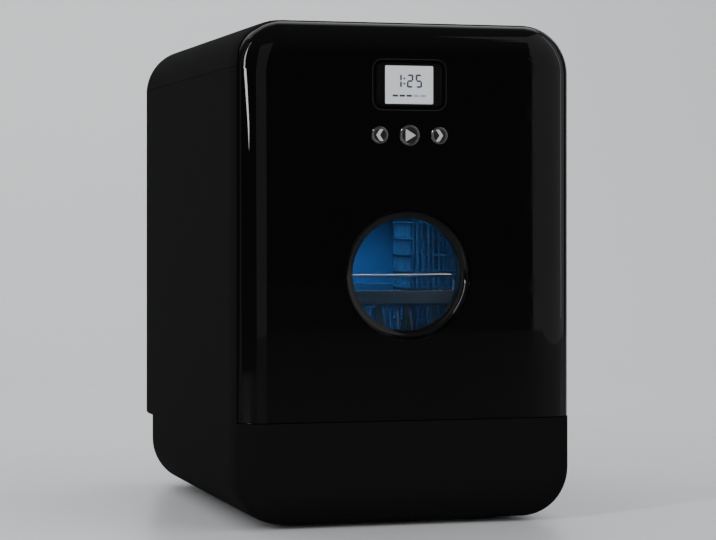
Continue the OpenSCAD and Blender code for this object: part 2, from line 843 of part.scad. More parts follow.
module spray_arm() {
    color("#6d7075")
        difference() {
            union() {
                bar_z([hub_x, hub_y, arm_z], 15, arm_h);
                translate([hub_x, hub_y, arm_z + 1])
                    linear_extrude(arm_h - 2)
                        union() {
                            polygon([[-spray_r + 9, -9], [0, -15], [spray_r - 9, -9],
                                [spray_r - 9, 9], [0, 15], [-spray_r + 9, 9]]);
                            for (sx = [-1, 1])
                                translate([sx * (spray_r - 9), 0])
                                    circle(r = 9);
                        }
                for (x = nozzle_places())
                    translate([hub_x + x, hub_y + (x > 0 ? 3 : -3), arm_z + arm_h - 1])
                        cylinder(r1 = 4, r2 = 2.6, h = 2);
            }
            bar_z([hub_x, hub_y, arm_z - 1], journal_r + run_fit, arm_h + 2);
            for (x = nozzle_places())
                bar_z([hub_x + x, hub_y + (x > 0 ? 3 : -3), arm_z + arm_h - 4], 1.2, 6);
        }
}

function nozzle_places() = [for (k = [0.3, 0.5, 0.7, 0.9], s = [-1, 1]) s * k * spray_r];

// ---- Pumps, pipes and electrics in the base ----

module wash_pump() {
    color("#5f6165")
        union() {
            bar_x([volute_x - 64, wash_y, wash_z], wash_r, 64);
            bar_x([volute_x - 70, wash_y, wash_z], wash_r - 8, 6);
            bar_x([volute_x, wash_y, wash_z], volute_r, volute_w);
            bar_x([volute_x + volute_w, wash_y, wash_z], 9,
                suction_x - suction_bend - volute_x - volute_w);
            bar_z([wash_pipe_x, wash_y, wash_z], pipe_r + 2, volute_r + 3);
            for (k = [0:5])
                bar_x([volute_x - 60 + 9 * k, wash_y, wash_z], wash_r + 1.2, 3);
            for (x = [volute_x - 56, volute_x + 4])
                block([x, wash_y - 20, base_top], [x + 10, wash_y + 20, wash_z - 12]);
        }
}

module drain_pump() {
    color("#5f6165")
        union() {
            bar_x([drain_x - 12, drain_pump_y, drain_pump_z], 24, 24);
            bar_x([drain_x - 31, drain_pump_y, drain_pump_z], 17, 19);
            bar_y([drain_x, drain_pump_y, conn_z], 7, 30);
            bar_z([drain_x, drain_pump_y - 14, drain_pump_z], 7, drain_suction_z - drain_pump_z);
            translate([drain_x, drain_pump_y - 14, drain_suction_z])
                sphere(r = 7);
            bar_y([drain_x, sump_back() + 12, drain_suction_z], 7, drain_pump_y - 26 - sump_back());
            block([drain_x - 8, drain_pump_y - 16, base_top],
                [drain_x + 8, drain_pump_y + 16, drain_pump_z - 14]);
            block([drain_x - 28, drain_pump_y - 12, base_top],
                [drain_x - 20, drain_pump_y + 12, drain_pump_z - 10]);
        }
}

// A quarter bend of a pipe in the plane of its own x and z, from +z at the origin to +x
module bend(pipe, r) {
    rotate([90, 0, 0])
        translate([r, 0, 0])
            rotate([0, 0, 90])
                rotate_extrude(angle = 90)
                    translate([r, 0])
                        circle(r = pipe);
}

module suction_hose() {
    y0 = sump_back() + 12;
    r = 20;
    color("#202124")
        union() {
            bar_y([suction_x, y0, suction_z], 9, wash_y - y0 - r);
            translate([suction_x, wash_y, suction_z - r])
                rotate([0, 0, -90])
                    bend(9, r);
            bar_z([suction_x, wash_y, wash_z + suction_bend], 9, suction_z - r - wash_z - suction_bend);
            translate([suction_x, wash_y, wash_z + suction_bend])
                rotate([180, 0, 180])
                    bend(9, suction_bend);
        }
}

module wash_pipe() {
    y1 = sump_back();
    z0 = wash_z + volute_r + 3;
    r = wash_pipe_z - z0;
    color("#b7babd")
        union() {
            translate([wash_pipe_x, wash_y, z0])
                rotate([0, 0, -90])
                    bend(pipe_r, r);
            bar_y([wash_pipe_x, y1, wash_pipe_z], pipe_r, wash_y - r - y1);
        }
}

module heater() {
    color("#c9a46a")
        difference() {
            union() {
                bar_y([wash_pipe_x, sump_back() + 8, wash_pipe_z], pipe_r + 6, 30);
                block([wash_pipe_x - 8, sump_back() + 12, wash_pipe_z + 10],
                    [wash_pipe_x + 8, sump_back() + 34, wash_pipe_z + 18]);
            }
            bar_y([wash_pipe_x, sump_back() + 7, wash_pipe_z], pipe_r + slip, 32);
        }
}

module drain_hose() {
    y0 = drain_pump_y + 30;
    color("#202124")
        union() {
            bar_y([drain_x, y0, conn_z], 8, y_base_back - wall - 14 - y0);
            for (k = [0:8])
                bar_y([drain_x, y0 + 4 + 8 * k, conn_z], 9, 3);
        }
}

module tank_hose() {
    r = 14;
    z = wash_pipe_z;
    color("#202124")
        union() {
            bar_z([tank_hose_x, tank_hose_y, z + r], 6, tub_z - z - r);
            translate([tank_hose_x, tank_hose_y - r, z])
                rotate([0, 0, 90])
                    elbow_back(6, r);
            bar_y([tank_hose_x, sump_back(), z], 6, tank_hose_y - r - sump_back());
        }
}

// A quarter bend from the +x direction at the origin up to +z at (r, 0, r)
module elbow_back(pipe, r) {
    translate([0, 0, r])
        rotate([90, 0, 0])
            rotate([0, 0, -90])
                rotate_extrude(angle = 90)
                    translate([r, 0])
                        circle(r = pipe);
}

module inlet_valve() {
    y1 = y_base_back - wall;
    color("#d8dadc")
        union() {
            bar_y([inlet_x, valve_y - 10, conn_z], 11, y1 - valve_y + 10 - 0.01);
            bar_z([inlet_x, valve_y, conn_z], 6, tub_z - conn_z);
            block([inlet_x - 13, valve_y - 13, conn_z - 26], [inlet_x + 13, valve_y + 13, conn_z]);
        }
}

module water_inlet() {
    y0 = y_base_back - wall;
    color("#e4e6e8")
        difference() {
            union() {
                bar_y([inlet_x, y0, conn_z], inlet_r, 21);
                bar_y([inlet_x, y_base_back, conn_z], 16, 2.5);
            }
            bar_y([inlet_x, y0 + 2, conn_z], inlet_r - 3.5, 30);
        }
}

module drain_spigot() {
    y0 = y_base_back - wall - 14;
    color("#4b4d51")
        difference() {
            union() {
                bar_y([drain_x, y0, conn_z], drain_r, 41);
                bar_y([drain_x, y_base_back, conn_z], drain_r + 4, 3);
            }
            bar_y([drain_x, y0 - 1, conn_z], drain_r - 2, 50);
        }
}

module power_inlet() {
    color("#101010")
        difference() {
            union() {
                panel(power_x, conn_z, 27, 20, 2.8, y_base_back - 24, y_base_back);
                panel(power_x, conn_z, 48, 28, 5, y_base_back, y_base_back + 2.5);
            }
            panel(power_x, conn_z, 22, 15, 3, y_base_back - 14, y_base_back + 3);
            for (sx = [-1, 1])
                bar_y([power_x + sx * 20, y_base_back - 1, conn_z], 1.7, 5);
        }
    color("#c9a24f")
        for (p = [[-7, 1.5], [0, -1.5], [7, 1.5]])
            block([power_x + p[0] - 1, y_base_back - 14, conn_z + p[1] - 2],
                [power_x + p[0] + 1, y_base_back - 3, conn_z + p[1] + 2]);
}

module power_board() {
    x0 = side_x - 146;
    y0 = y_back - wall - 40;
    color("#1f5a3a")
        union() {
            block([x0, y0, tub_z], [x0 + 110, y0 + 1.6, tub_z + 118]);
            block([x0 + 8, y0 - 26, tub_z + 12], [x0 + 44, y0, tub_z + 46]);
            block([x0 + 60, y0 - 18, tub_z + 16], [x0 + 92, y0, tub_z + 32]);
            for (k = [0:3])
                bar_y([x0 + 58 + 14 * k, y0 - 20, tub_z + 52], 6, 20);
            for (k = [0:5])
                block([x0 + 12 + 6 * k, y0 - 16, tub_z + 66], [x0 + 14 + 6 * k, y0, tub_z + 104]);
            block([x0 + 60, y0 - 9, tub_z + 80], [x0 + 98, y0, tub_z + 92]);
        }
}

// ---- Water tank ----

module water_tank() {
    color("#dfe6ea")
        difference() {
            union() {
                slab(tank_x, tank_y, tank_w, tank_d, 12, tub_z, tank_top);
                bar_z([fill_x, fill_y, tank_top - 1], neck_r, 9);
            }
            slab(tank_x, tank_y, tank_w - 2 * tank_t, tank_d - 2 * tank_t, 9.5, tub_z + tank_t,
                tank_top - tank_t);
            bar_z([fill_x, fill_y, tank_top - tank_t - 1], neck_r - 2, 20);
            bar_z([tank_hose_x, tank_hose_y, tub_z - 1], 4, tank_t + 2);
        }
}

module fill_funnel() {
    top = z_top - well_deep - 2;
    r = neck_r - 2 - slip;
    color("#26272a")
        translate([fill_x, fill_y, 0])
            rotate_extrude()
                polygon([[r - 2, tank_top - 6], [r, tank_top - 6], [r, tank_top + 8 + touch],
                    [r + 3, tank_top + 8 + touch], [r + 3, tank_top + 11], [24, top - 4],
                    [26, top - 4], [26, top], [20, top], [r - 2, tank_top + 14]]);
}

// ---- Door ----

// The door seen from above: flat at the back, rounded round the hinge axis
module door_plan() {
    union() {
        translate([-side_x - 1, y_front - 1])
            square([body_w + 2, hinge_y - y_front + 1]);
        translate([hinge_x, y_front - 1])
            square([side_x - hinge_x + 1, y_part - y_front + 1]);
        translate([hinge_x, hinge_y])
            circle(r = knuckle_r);
    }
}

// The door's outer form, t inside the casing's surface, from height z0 up
module door_form(t, z0) {
    intersection() {
        pillow(rim(t));
        translate([0, 0, z0])
            linear_extrude(z_top)
                door_plan();
    }
}

module door_skin() {
    t = door_inset + skin_t;
    color("#050506")
        difference() {
            door_form(door_inset, door_z);
            intersection() {
                pillow(rim(t));
                block([-side_x, y_front, door_z + skin_t], [side_x, y_front + edge_back + 1, z_top]);
            }
            bar_y([0, y_front - 1, window_z], bezel_r + slip, t + 5);
            panel(0, display_z, lens_w + 2 * slip, lens_h + 2 * slip, lens_r + slip, y_front - 1,
                y_lens_back);
            panel(0, display_z, lens_w - 2 * lens_ledge, lens_h - 2 * lens_ledge, lens_r - lens_ledge,
                y_front - 1, y_front + t + 1);
            for (k = [-1:1])
                bar_y([k * button_pitch, y_front - 1, button_z], button_r(k) + touch, t + 5);
            bar_z([hinge_x, hinge_y, door_z - 1], pin_r + 0.4, skin_t + 2);
            hinge_notch();
        }
}

function button_r(k) = k == 0 ? play_r : step_button_r;

// Room for the upper bracket's arm as the door swings
module hinge_notch() {
    far = 2 * knuckle_r;
    side = arm_w / 2 + notch_gap;
    a0 = arm_a;
    a1 = arm_a + door_swing;
    bar_z([hinge_x, hinge_y, bracket_z - notch_gap], eye_r + notch_gap, bracket_t + 2 * notch_gap);
    translate([hinge_x, hinge_y, bracket_z - notch_gap])
        linear_extrude(bracket_t + 2 * notch_gap)
            polygon([side * [sin(a0), -cos(a0)], side * [sin(a0), -cos(a0)] + far * [cos(a0), sin(a0)],
                1.6 * far * [cos((a0 + a1) / 2), sin((a0 + a1) / 2)],
                side * [-sin(a1), cos(a1)] + far * [cos(a1), sin(a1)], side * [-sin(a1), cos(a1)]]);
}

module window_bezel() {
    color("#050506")
        translate([0, 0, window_z])
            rotate([-90, 0, 0])
                rotate_extrude()
                    polygon(concat([[bezel_r, y_door], [window_r + funnel_w, y_door]],
                        [for (a = [15:15:90]) [window_r + funnel_w * cos(a),
                            y_door + funnel_deep * sin(a)]],
                        [[glass_r + slip, y_glass], [glass_r + slip, y_glass_back],
                            [bezel_r, y_glass_back]]));
}

module outer_glass() {
    color("#223038")
        bar_y([0, y_glass, window_z], glass_r, glass_t);
}

module window_seal() {
    color("#141414")
        difference() {
            bar_y([0, y_glass_back, window_z], tube_out - 1, seal_t);
            bar_y([0, y_glass_back - 1, window_z], tube_in, seal_t + 2);
        }
}

module inner_glass() {
    color("#223038")
        bar_y([0, y_pan - inner_glass_t, window_z], inner_glass_r, inner_glass_t);
}

module door_liner() {
    z0 = door_z + skin_t + slip;
    color("#c4cace")
        difference() {
            union() {
                difference() {
                    intersection() {
                        door_form(liner_in, z0);
                        union() {
                            block([-side_x, y_flange, z0], [side_x, y_part + 6, z_top]);
                            block([-side_x, y_front, z0], [hinge_x + knuckle_r, y_part + 6, z_top]);
                        }
                    }
                    panel(0, mouth_mid, pan_w - 2 * pan_t, pan_h - 2 * pan_t, pan_r - pan_t,
                        y_flange - 1, y_part + 1);
                }
                difference() {
                    panel(0, mouth_mid, pan_w, pan_h, pan_r, y_flange, y_pan);
                    panel(0, mouth_mid, pan_w - 2 * pan_t, pan_h - 2 * pan_t, pan_r - pan_t,
                        y_flange - 1, y_pan - pan_t);
                }
                bar_y([0, y_tube, window_z], tube_out, y_pan - y_tube);
                for (x = post_xs()) {
                    bar_y([x, y_board + board_t, board_lo + 5], post_r, y_pan - y_board - board_t - 1);
                    bar_y([x, y_board + board_t, board_hi - 6], post_r, y_part - y_board - board_t - 1);
                }
                panel(cup_x, cup_z, cup_w + 4, cup_h + 4, 6, y_flange, y_pan);
            }
            bar_y([0, y_front, window_z], tube_in, body_d);
            bar_y([0, y_pan - inner_glass_t, window_z], inner_glass_r + slip, inner_glass_t + 1);
            panel(cup_x, cup_z, cup_w + 2 * slip, cup_h + 2 * slip, 4, y_flange - 1, y_pan + 1);
            bar_z([hinge_x, hinge_y, 0], pin_r + 0.4, z_top);
            bar_z([hinge_x, hinge_y, 0], bush_r, door_z + bush_l + 1);
            bar_z([hinge_x, hinge_y, bracket_z - notch_gap], bush_r, bush_l + bracket_t + 2);
            hinge_notch();
            for (z = magnet_places())
                block([magnet_x - magnet_w / 2, y_flange - 1, z - magnet_l / 2],
                    [magnet_x + magnet_w / 2, y_part + 1, z + magnet_l / 2]);
        }
}

function post_xs() = [-1, 1] * (board_w / 2 - post_in);

module hinge_bushes() {
    color("#e7e7e2")
        for (z = [door_z + skin_t + slip, bracket_z + bracket_t + notch_gap])
            difference() {
                bar_z([hinge_x, hinge_y, z], bush_r, bush_l - 2);
                bar_z([hinge_x, hinge_y, z - 1], pin_r + run_fit, bush_l);
            }
}

module door_magnets() {
    color("#6f7276")
        for (z = magnet_places())
            block([magnet_x - magnet_w / 2, y_flange, z - magnet_l / 2],
                [magnet_x + magnet_w / 2, y_part, z + magnet_l / 2]);
}

module display_lens() {
    color("#0a0a0c")
        panel(0, display_z, lens_w, lens_h, lens_r, y_door + lens_set, y_lens_back);
}

module display_panel() {
    w = lens_w - 2 * lens_ledge - 2;
    h = lens_h - 2 * lens_ledge - 1;
    color("#c9ccd0")
        union() {
            panel(0, display_z, w, h, 3, y_panel + 0.6, y_board);
            panel(0, display_z, w - 16, h - 4, 1.5, y_panel, y_panel + 0.6);
        }
}

module control_board() {
    color("#1f5a3a")
        union() {
            block([-board_w / 2, y_board, board_lo], [board_w / 2, y_board + board_t, board_hi]);
            for (k = [-1:1])
                block([k * button_pitch - 4, y_switch(), button_z - 4],
                    [k * button_pitch + 4, y_board, button_z + 4]);
            block([-40, y_board + board_t, display_z - 12], [-24, y_board + board_t + 3.5, display_z + 12]);
            block([-10, y_board + board_t, display_z - 10], [8, y_board + board_t + 2, display_z + 8]);
        }
}

function y_switch() = y_board - 2;

// A push button: domed cap with a raised ring, flange behind the skin, and stem
module push_button(k) {
    r = button_r(k);
    skin_back = y_door + skin_t;
    color("#2a2b2e")
        translate([k * button_pitch, 0, button_z])
            rotate([-90, 0, 0])
                rotate_extrude()
                    polygon([[0, y_front + 0.45], [r - 2.2, y_front + 0.6], [r - 1.7, y_front + 0.15],
                        [r - 0.9, y_front + 0.15], [r, y_front + 0.9], [r, skin_back + touch],
                        [r + 1.2, skin_back + touch], [r + 1.2, skin_back + touch + 1],
                        [3, skin_back + touch + 1], [3, y_switch() - button_travel - touch],
                        [0, y_switch() - button_travel - touch]]);
}

module button_back() {
    push_button(-1);
}

module button_play() {
    push_button(0);
}

module button_next() {
    push_button(1);
}

module detergent_cup() {
    color("#eceff0")
        difference() {
            panel(cup_x, cup_z, cup_w, cup_h, 3.8, y_flange, y_pan);
            panel(cup_x, cup_z, cup_w - 4, cup_h - 4, 2.5, y_flange + 2, y_pan + 1);
        }
}

module detergent_lid() {
    color("#8ea0ac")
        union() {
            panel(cup_x, cup_z, cup_w + 1, cup_h + 2, 4, y_pan + touch, y_pan + touch + lid_t);
            for (k = [-2:2])
                block([cup_x + 4 * k - 0.6, y_pan + touch + lid_t - 0.1, cup_z - 9],
                    [cup_x + 4 * k + 0.6, y_pan + touch + lid_t + 0.8, cup_z + 9]);
        }
}

// ---- Basket ----

module ring(x, y, w, l, r, t, z0, z1) {
    difference() {
        slab(x, y, w, l, r, z0, z1);
        slab(x, y, w - 2 * t, l - 2 * t, r - t, z0 - 1, z1 + 1);
    }
}

// A flat lattice wall of leaning slats between two rails, along x, standing on z = 0
module slat_wall(n, h) {
    rail = 2;
    half = slat_w / 2 / cos(atan(slat_pitch / 2 / h));
    low = slat_pitch / 2 * (1 + rail / h) - half;
    high = slat_pitch / 2 * (2 - rail / h) - half;
    between = slat_pitch / 2 * (1 - rail / h) - half;
    difference() {
        block([-n * slat_pitch, -slat_t / 2, 0], [n * slat_pitch, slat_t / 2, h]);
        for (k = [1:n])
            slat_gap((2 * k - n - 1) * slat_pitch,
                [[-low, rail], [low, rail], [high, h - rail], [-high, h - rail]]);
        for (k = [0:n])
            slat_gap((2 * k - n) * slat_pitch,
                [[-between, rail], [between, rail], [0, h * (1 - 2 * half / slat_pitch)]]);
    }
}

module slat_gap(x, points) {
    translate([x, slat_t, 0])
        rotate([90, 0, 0])
            linear_extrude(height = 2 * slat_t)
                polygon([for (p = points) [micron(p[0]), micron(p[1])]]);
}

function slat_count(l) = floor((l - 2 * basket_r) / slat_pitch / 2);

module basket() {
    color("#c3c8cb")
        union() {
            ring(0, basket_mid, basket_w, basket_l, basket_r, rim_t, rim_z - rim_h, rim_z);
            ring(0, basket_mid, basket_w - 4, basket_l - 4, basket_r - 2, 9,
                rim_z - rim_h, rim_z - rim_h + 3);
            for (sx = [-1, 1])
                block([min(sx * (basket_w / 2 - 1), sx * (basket_w / 2 + 4)), stop_y, rim_z - 9],
                    [max(sx * (basket_w / 2 - 1), sx * (basket_w / 2 + 4)), stop_y + 4, rim_z - 4]);
        }
}

module basket_slats() {
    z = basket_z + foot_ring;
    h = rim_z - rim_h - z;
    inset = rim_t / 2 + 7;
    color("#c3c8cb") {
        for (sy = [-1, 1])
            translate([0, basket_mid + sy * (basket_l / 2 - inset), z])
                slat_wall(slat_count(basket_w), h);
        for (sx = [-1, 1])
            translate([sx * (basket_w / 2 - inset), basket_mid, z])
                rotate([0, 0, 90])
                    slat_wall(slat_count(basket_l), h);
    }
}

module basket_grid() {
    nx = floor((basket_w / 2 - 24) / 24);
    ny = floor((basket_l / 2 - 20) / 27);
    color("#c3c8cb")
        union() {
            ring(0, basket_mid, basket_w - 14, basket_l - 14, basket_r - 7, 4,
                basket_z, basket_z + foot_ring);
            for (k = [-nx:nx])
                block([k * 24 - 1.5, basket_y + 8, basket_z], [k * 24 + 1.5, basket_back - 8, basket_floor]);
            for (k = [-ny:ny])
                block([8 - basket_w / 2, basket_mid + k * 27 - 1.5, basket_z],
                    [basket_w / 2 - 8, basket_mid + k * 27 + 1.5, basket_floor]);
        }
}

module plate_tines() {
    color("#c3c8cb")
        for (y = [basket_y + 60, basket_y + 108])
            union() {
                block([tine_x0 - 6, y - 2.5, basket_floor],
                    [tine_x0 + tine_n * tine_pitch + 4, y + 2.5, basket_floor + 4]);
                for (k = [0:tine_n])
                    translate([tine_x0 + tine_pitch * k, y, basket_floor + 3])
                        rotate([-8, 0, 0])
                            cylinder(r1 = 2.2, r2 = 1.5, h = 46);
            }
}

module basket_handle() {
    y = basket_y + rim_t / 2;
    w = 61;
    r = 1.6;
    up = 15;
    bend_r = 5;
    color("#d5d8da")
        union() {
            for (sx = [-1, 1]) {
                bar_z([sx * w, y, rim_z], r, up - bend_r);
                translate([sx * w, y, rim_z + up - bend_r])
                    rotate([0, 0, sx > 0 ? 180 : 0])
                        bend(r, bend_r);
            }
            bar_x([-w + bend_r, y, rim_z + up], r, 2 * (w - bend_r));
        }
}

module mesh_bar(x, y, z0) {
    block([x - mesh_t / 2, y - mesh_t / 2, z0], [x + mesh_t / 2, y + mesh_t / 2, cutlery_top - 2]);
}

module cutlery_basket() {
    z0 = basket_floor + touch;
    step = 17;
    color("#b9bfc3")
        union() {
            for (z = [z0 + 1:step:cutlery_top - 4])
                ring(cutlery_x, cutlery_y, cutlery_w, cutlery_l, 4, 2, z, z + 1.6);
            ring(cutlery_x, cutlery_y, cutlery_w + 1.6, cutlery_l + 1.6, 5, 3.2,
                cutlery_top - 4, cutlery_top);
            slab(cutlery_x, cutlery_y, cutlery_w, cutlery_l, 4, z0, z0 + 2);
            for (k = [-4:4], side = [-1, 1])
                mesh_bar(cutlery_x + mesh_pitch * k, cutlery_y + side * (cutlery_l / 2 - 1), z0);
            for (k = [-5:5], side = [-1, 1])
                mesh_bar(cutlery_x + side * (cutlery_w / 2 - 1), cutlery_y + mesh_pitch * k, z0);
        }
}

housing();
top_cover();
rear_cover();
rear_cover_screws();
base_plate();
base_screws();
feet();
chassis_deck();
front_frame();
door_gasket();
upper_hinge_bracket();
hinge_screws();
lower_hinge_pin();
strike_plates();
tub();
runners();
lamp_housing();
lamp_lens();
sump();
filter_plate();
filter_cup();
spray_hub();
spray_arm();
wash_pump();
drain_pump();
heater();
suction_hose();
wash_pipe();
drain_hose();
water_tank();
tank_hose();
fill_funnel();
fill_lid();
inlet_valve();
water_inlet();
drain_spigot();
power_inlet();
power_board();
door_skin();
window_bezel();
outer_glass();
window_seal();
inner_glass();
door_liner();
hinge_bushes();
door_magnets();
display_lens();
display_panel();
control_board();
button_back();
button_play();
button_next();
detergent_cup();
detergent_lid();
basket();
basket_slats();
basket_grid();
plate_tines();
basket_handle();
cutlery_basket();
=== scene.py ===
import json
import math

import bmesh
import bpy
from mathutils import Matrix, Vector


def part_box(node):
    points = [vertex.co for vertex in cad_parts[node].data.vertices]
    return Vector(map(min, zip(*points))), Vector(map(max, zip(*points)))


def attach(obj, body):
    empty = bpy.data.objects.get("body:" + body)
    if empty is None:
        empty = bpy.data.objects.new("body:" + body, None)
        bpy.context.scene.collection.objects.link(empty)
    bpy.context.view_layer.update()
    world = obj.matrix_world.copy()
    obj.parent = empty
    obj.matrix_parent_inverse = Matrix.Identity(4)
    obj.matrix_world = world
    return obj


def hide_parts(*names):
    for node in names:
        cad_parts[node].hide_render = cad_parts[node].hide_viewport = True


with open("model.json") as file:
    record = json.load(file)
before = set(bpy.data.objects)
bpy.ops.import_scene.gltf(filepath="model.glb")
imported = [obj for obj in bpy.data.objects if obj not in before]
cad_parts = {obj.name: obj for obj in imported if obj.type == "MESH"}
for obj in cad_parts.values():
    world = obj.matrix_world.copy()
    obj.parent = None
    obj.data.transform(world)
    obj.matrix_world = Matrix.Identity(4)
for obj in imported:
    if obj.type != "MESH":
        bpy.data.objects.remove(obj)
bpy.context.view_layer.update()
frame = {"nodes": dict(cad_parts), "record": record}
MM = 0.001


# ---- Camera ----

CAMERA_PLACE = (-0.66092, -2.38835, 0.29454)
# Degrees to the right of straight ahead
CAMERA_TURN = 15.825
CAMERA_LENS = 117.43
CAMERA_SENSOR = 36
CAMERA_SHIFT_Y = -0.0685
CAMERA_CLIP = (0.05, 60)


def add_camera():
    """A level camera, so that upright edges stay upright; the shift frames the object."""
    data = bpy.data.cameras.new("camera")
    camera = bpy.data.objects.new("camera", data)
    bpy.context.scene.collection.objects.link(camera)
    camera.location = CAMERA_PLACE
    camera.rotation_euler = (math.radians(90), 0, math.radians(-CAMERA_TURN))
    data.lens = CAMERA_LENS
    data.sensor_width = CAMERA_SENSOR
    data.shift_y = CAMERA_SHIFT_Y
    data.clip_start, data.clip_end = CAMERA_CLIP
    bpy.context.scene.camera = camera


# ---- Node trees ----

# Inputs of the Principled shader by short names
SHADER_INPUTS = {
    "color": "Base Color", "metallic": "Metallic", "roughness": "Roughness", "ior": "IOR",
    "specular": "Specular IOR Level", "transmission": "Transmission Weight",
    "subsurface": "Subsurface Weight", "subsurface_radius": "Subsurface Radius",
    "strength": "Emission Strength",
}


class Tree:
    """A material's node tree with short calls for the nodes that the materials here share."""

    def __init__(self, name):
        self.material = bpy.data.materials.new(name)
        self.material.use_nodes = True
        self.nodes = self.material.node_tree.nodes
        self.links = self.material.node_tree.links
        self.nodes.clear()
        self.out = self.nodes.new("ShaderNodeOutputMaterial")
        self.shader = self.nodes.new("ShaderNodeBsdfPrincipled")
        self.link(self.shader.outputs[0], self.out.inputs[0])
        self.coords = self.nodes.new("ShaderNodeTexCoord").outputs["Object"]

    def link(self, a, b):
        self.links.new(a, b)

    def set(self, **values):
        """Plain values on the shader; a colour has three numbers."""
        for key, value in values.items():
            if key == "color":
                value = (*value, 1)
            self.shader.inputs[SHADER_INPUTS[key]].default_value = value

    def mapped(self, scale, shift=(0, 0, 0)):
        """The object's coordinates, scaled and then shifted."""
        node = self.nodes.new("ShaderNodeMapping")
        node.inputs["Scale"].default_value = scale
        node.inputs["Location"].default_value = shift
        self.link(self.coords, node.inputs["Vector"])
        return node.outputs[0]

    def noise(self, size, detail=2.0, vector=None):
        """Noise from 0 to 1 whose coarsest spots are about size wide."""
        node = self.nodes.new("ShaderNodeTexNoise")
        node.inputs["Scale"].default_value = 1 / size
        node.inputs["Detail"].default_value = detail
        self.link(vector or self.coords, node.inputs["Vector"])
        return node.outputs[0]

    def between(self, value, low, high, start=0.3, stop=0.7):
        """low where value is up to start, high where it is over stop, and a ramp between."""
        node = self.nodes.new("ShaderNodeMapRange")
        node.inputs["From Min"].default_value = start
        node.inputs["From Max"].default_value = stop
        node.inputs["To Min"].default_value = low
        node.inputs["To Max"].default_value = high
        self.link(value, node.inputs["Value"])
        return node.outputs[0]

    def blend(self, factor, a, b):
        """Colour a where factor is 0 and b where it is 1; b may be another node's output."""
        node = self.nodes.new("ShaderNodeMix")
        node.data_type = "RGBA"
        self.link(factor, node.inputs[0])
        node.inputs[6].default_value = (*a, 1)
        if isinstance(b, bpy.types.NodeSocket):
            self.link(b, node.inputs[7])
        else:
            node.inputs[7].default_value = (*b, 1)
        return node.outputs[2]

    def bump(self, height, distance):
        node = self.nodes.new("ShaderNodeBump")
        node.inputs["Distance"].default_value = distance
        node.inputs["Strength"].default_value = 1.0
        self.link(height, node.inputs["Height"])
        self.link(node.outputs[0], self.shader.inputs["Normal"])

    def paint(self, value):
        self.link(value, self.shader.inputs["Base Color"])

    def roughen(self, value):
        self.link(value, self.shader.inputs["Roughness"])


def shade(color, factor):
    """The colour made lighter or darker by factor."""
    return tuple(min(1.0, c * factor) for c in color)


# ---- Kinds of material; a size of noise or depth of bump is in metres ----

def moulded(name, color, rough=0.5, grain=0.7 * MM, spread=0.14, specular=0.5, handled=0.035):
    """Moulded plastic: a fine eroded grain, faint cloudiness, and sheen that changes with handling."""
    tree = Tree(name)
    tree.set(specular=specular)
    cloud = tree.noise(60 * MM, 4)
    tree.paint(tree.blend(cloud, shade(color, 1 - spread), shade(color, 1 + spread)))
    tree.roughen(tree.between(tree.noise(25 * MM, 5), rough - handled, rough + handled))
    tree.bump(tree.noise(grain, 3), 0.03 * MM)
    return tree.material


def gloss(name, color, rough=0.04, specular=0.5, wave=0.006 * MM):
    """Polished plastic: nearly black, with a faint moulding wave and the smears of fingertips."""
    tree = Tree(name)
    tree.set(specular=specular)
    cloud = tree.noise(90 * MM, 3)
    tree.paint(tree.blend(cloud, shade(color, 0.8), shade(color, 1.2)))
    smear = tree.noise(14 * MM, 6, tree.mapped((1.0, 1.0, 0.45)))
    tree.roughen(tree.between(smear, rough, rough + 0.03, 0.45, 0.75))
    tree.bump(tree.noise(45 * MM, 1), wave)
    return tree.material


def metal(name, color, rough=0.3, stretch=(1, 1, 40), grain=1.2 * MM):
    """Drawn or brushed metal: fine lines along one axis and slightly uneven tarnish."""
    tree = Tree(name)
    tree.set(metallic=1.0)
    lines = tree.noise(grain, 3, tree.mapped(stretch))
    tree.paint(tree.blend(tree.noise(18 * MM, 3), shade(color, 0.88), shade(color, 1.06)))
    tree.roughen(tree.between(lines, rough - 0.08, rough + 0.1))
    tree.bump(lines, 0.01 * MM)
    return tree.material


def rubber(name, color, rough=0.75):
    """Rubber: matte, dusty in its pores."""
    tree = Tree(name)
    tree.set(specular=0.3)
    dust = tree.noise(6 * MM, 5)
    tree.paint(tree.blend(dust, shade(color, 0.8), shade(color, 1.35)))
    tree.roughen(tree.between(dust, rough - 0.07, rough + 0.07))
    tree.bump(tree.noise(0.9 * MM, 2), 0.04 * MM)
    return tree.material


def clear(name, color, ior):
    """Clear glass or plastic that lets shadow rays pass, with faint wipe marks."""
    tree = Tree(name)
    tree.set(transmission=1.0, ior=ior)
    tree.paint(tree.blend(tree.noise(40 * MM, 2), shade(color, 0.98), color))
    tree.roughen(tree.between(tree.noise(20 * MM, 5), 0.0, 0.02, 0.55, 0.85))
    path = tree.nodes.new("ShaderNodeLightPath")
    passing = tree.nodes.new("ShaderNodeBsdfTransparent")
    passing.inputs[0].default_value = (*color, 1)
    mix = tree.nodes.new("ShaderNodeMixShader")
    tree.link(path.outputs["Is Shadow Ray"], mix.inputs[0])
    tree.link(tree.shader.outputs[0], mix.inputs[1])
    tree.link(passing.outputs[0], mix.inputs[2])
    tree.link(mix.outputs[0], tree.out.inputs[0])
    return tree.material


MILKY_RADIUS = (8 * MM, 8 * MM, 9 * MM)
# Painted shade: the near-black colour of the disc on the door liner round the window
PAINTED_SHADE_COLOR = (0.010, 0.011, 0.012)
# Half the width of the painted shade's soft edge
PAINTED_SHADE_EDGE = 0.2 * MM


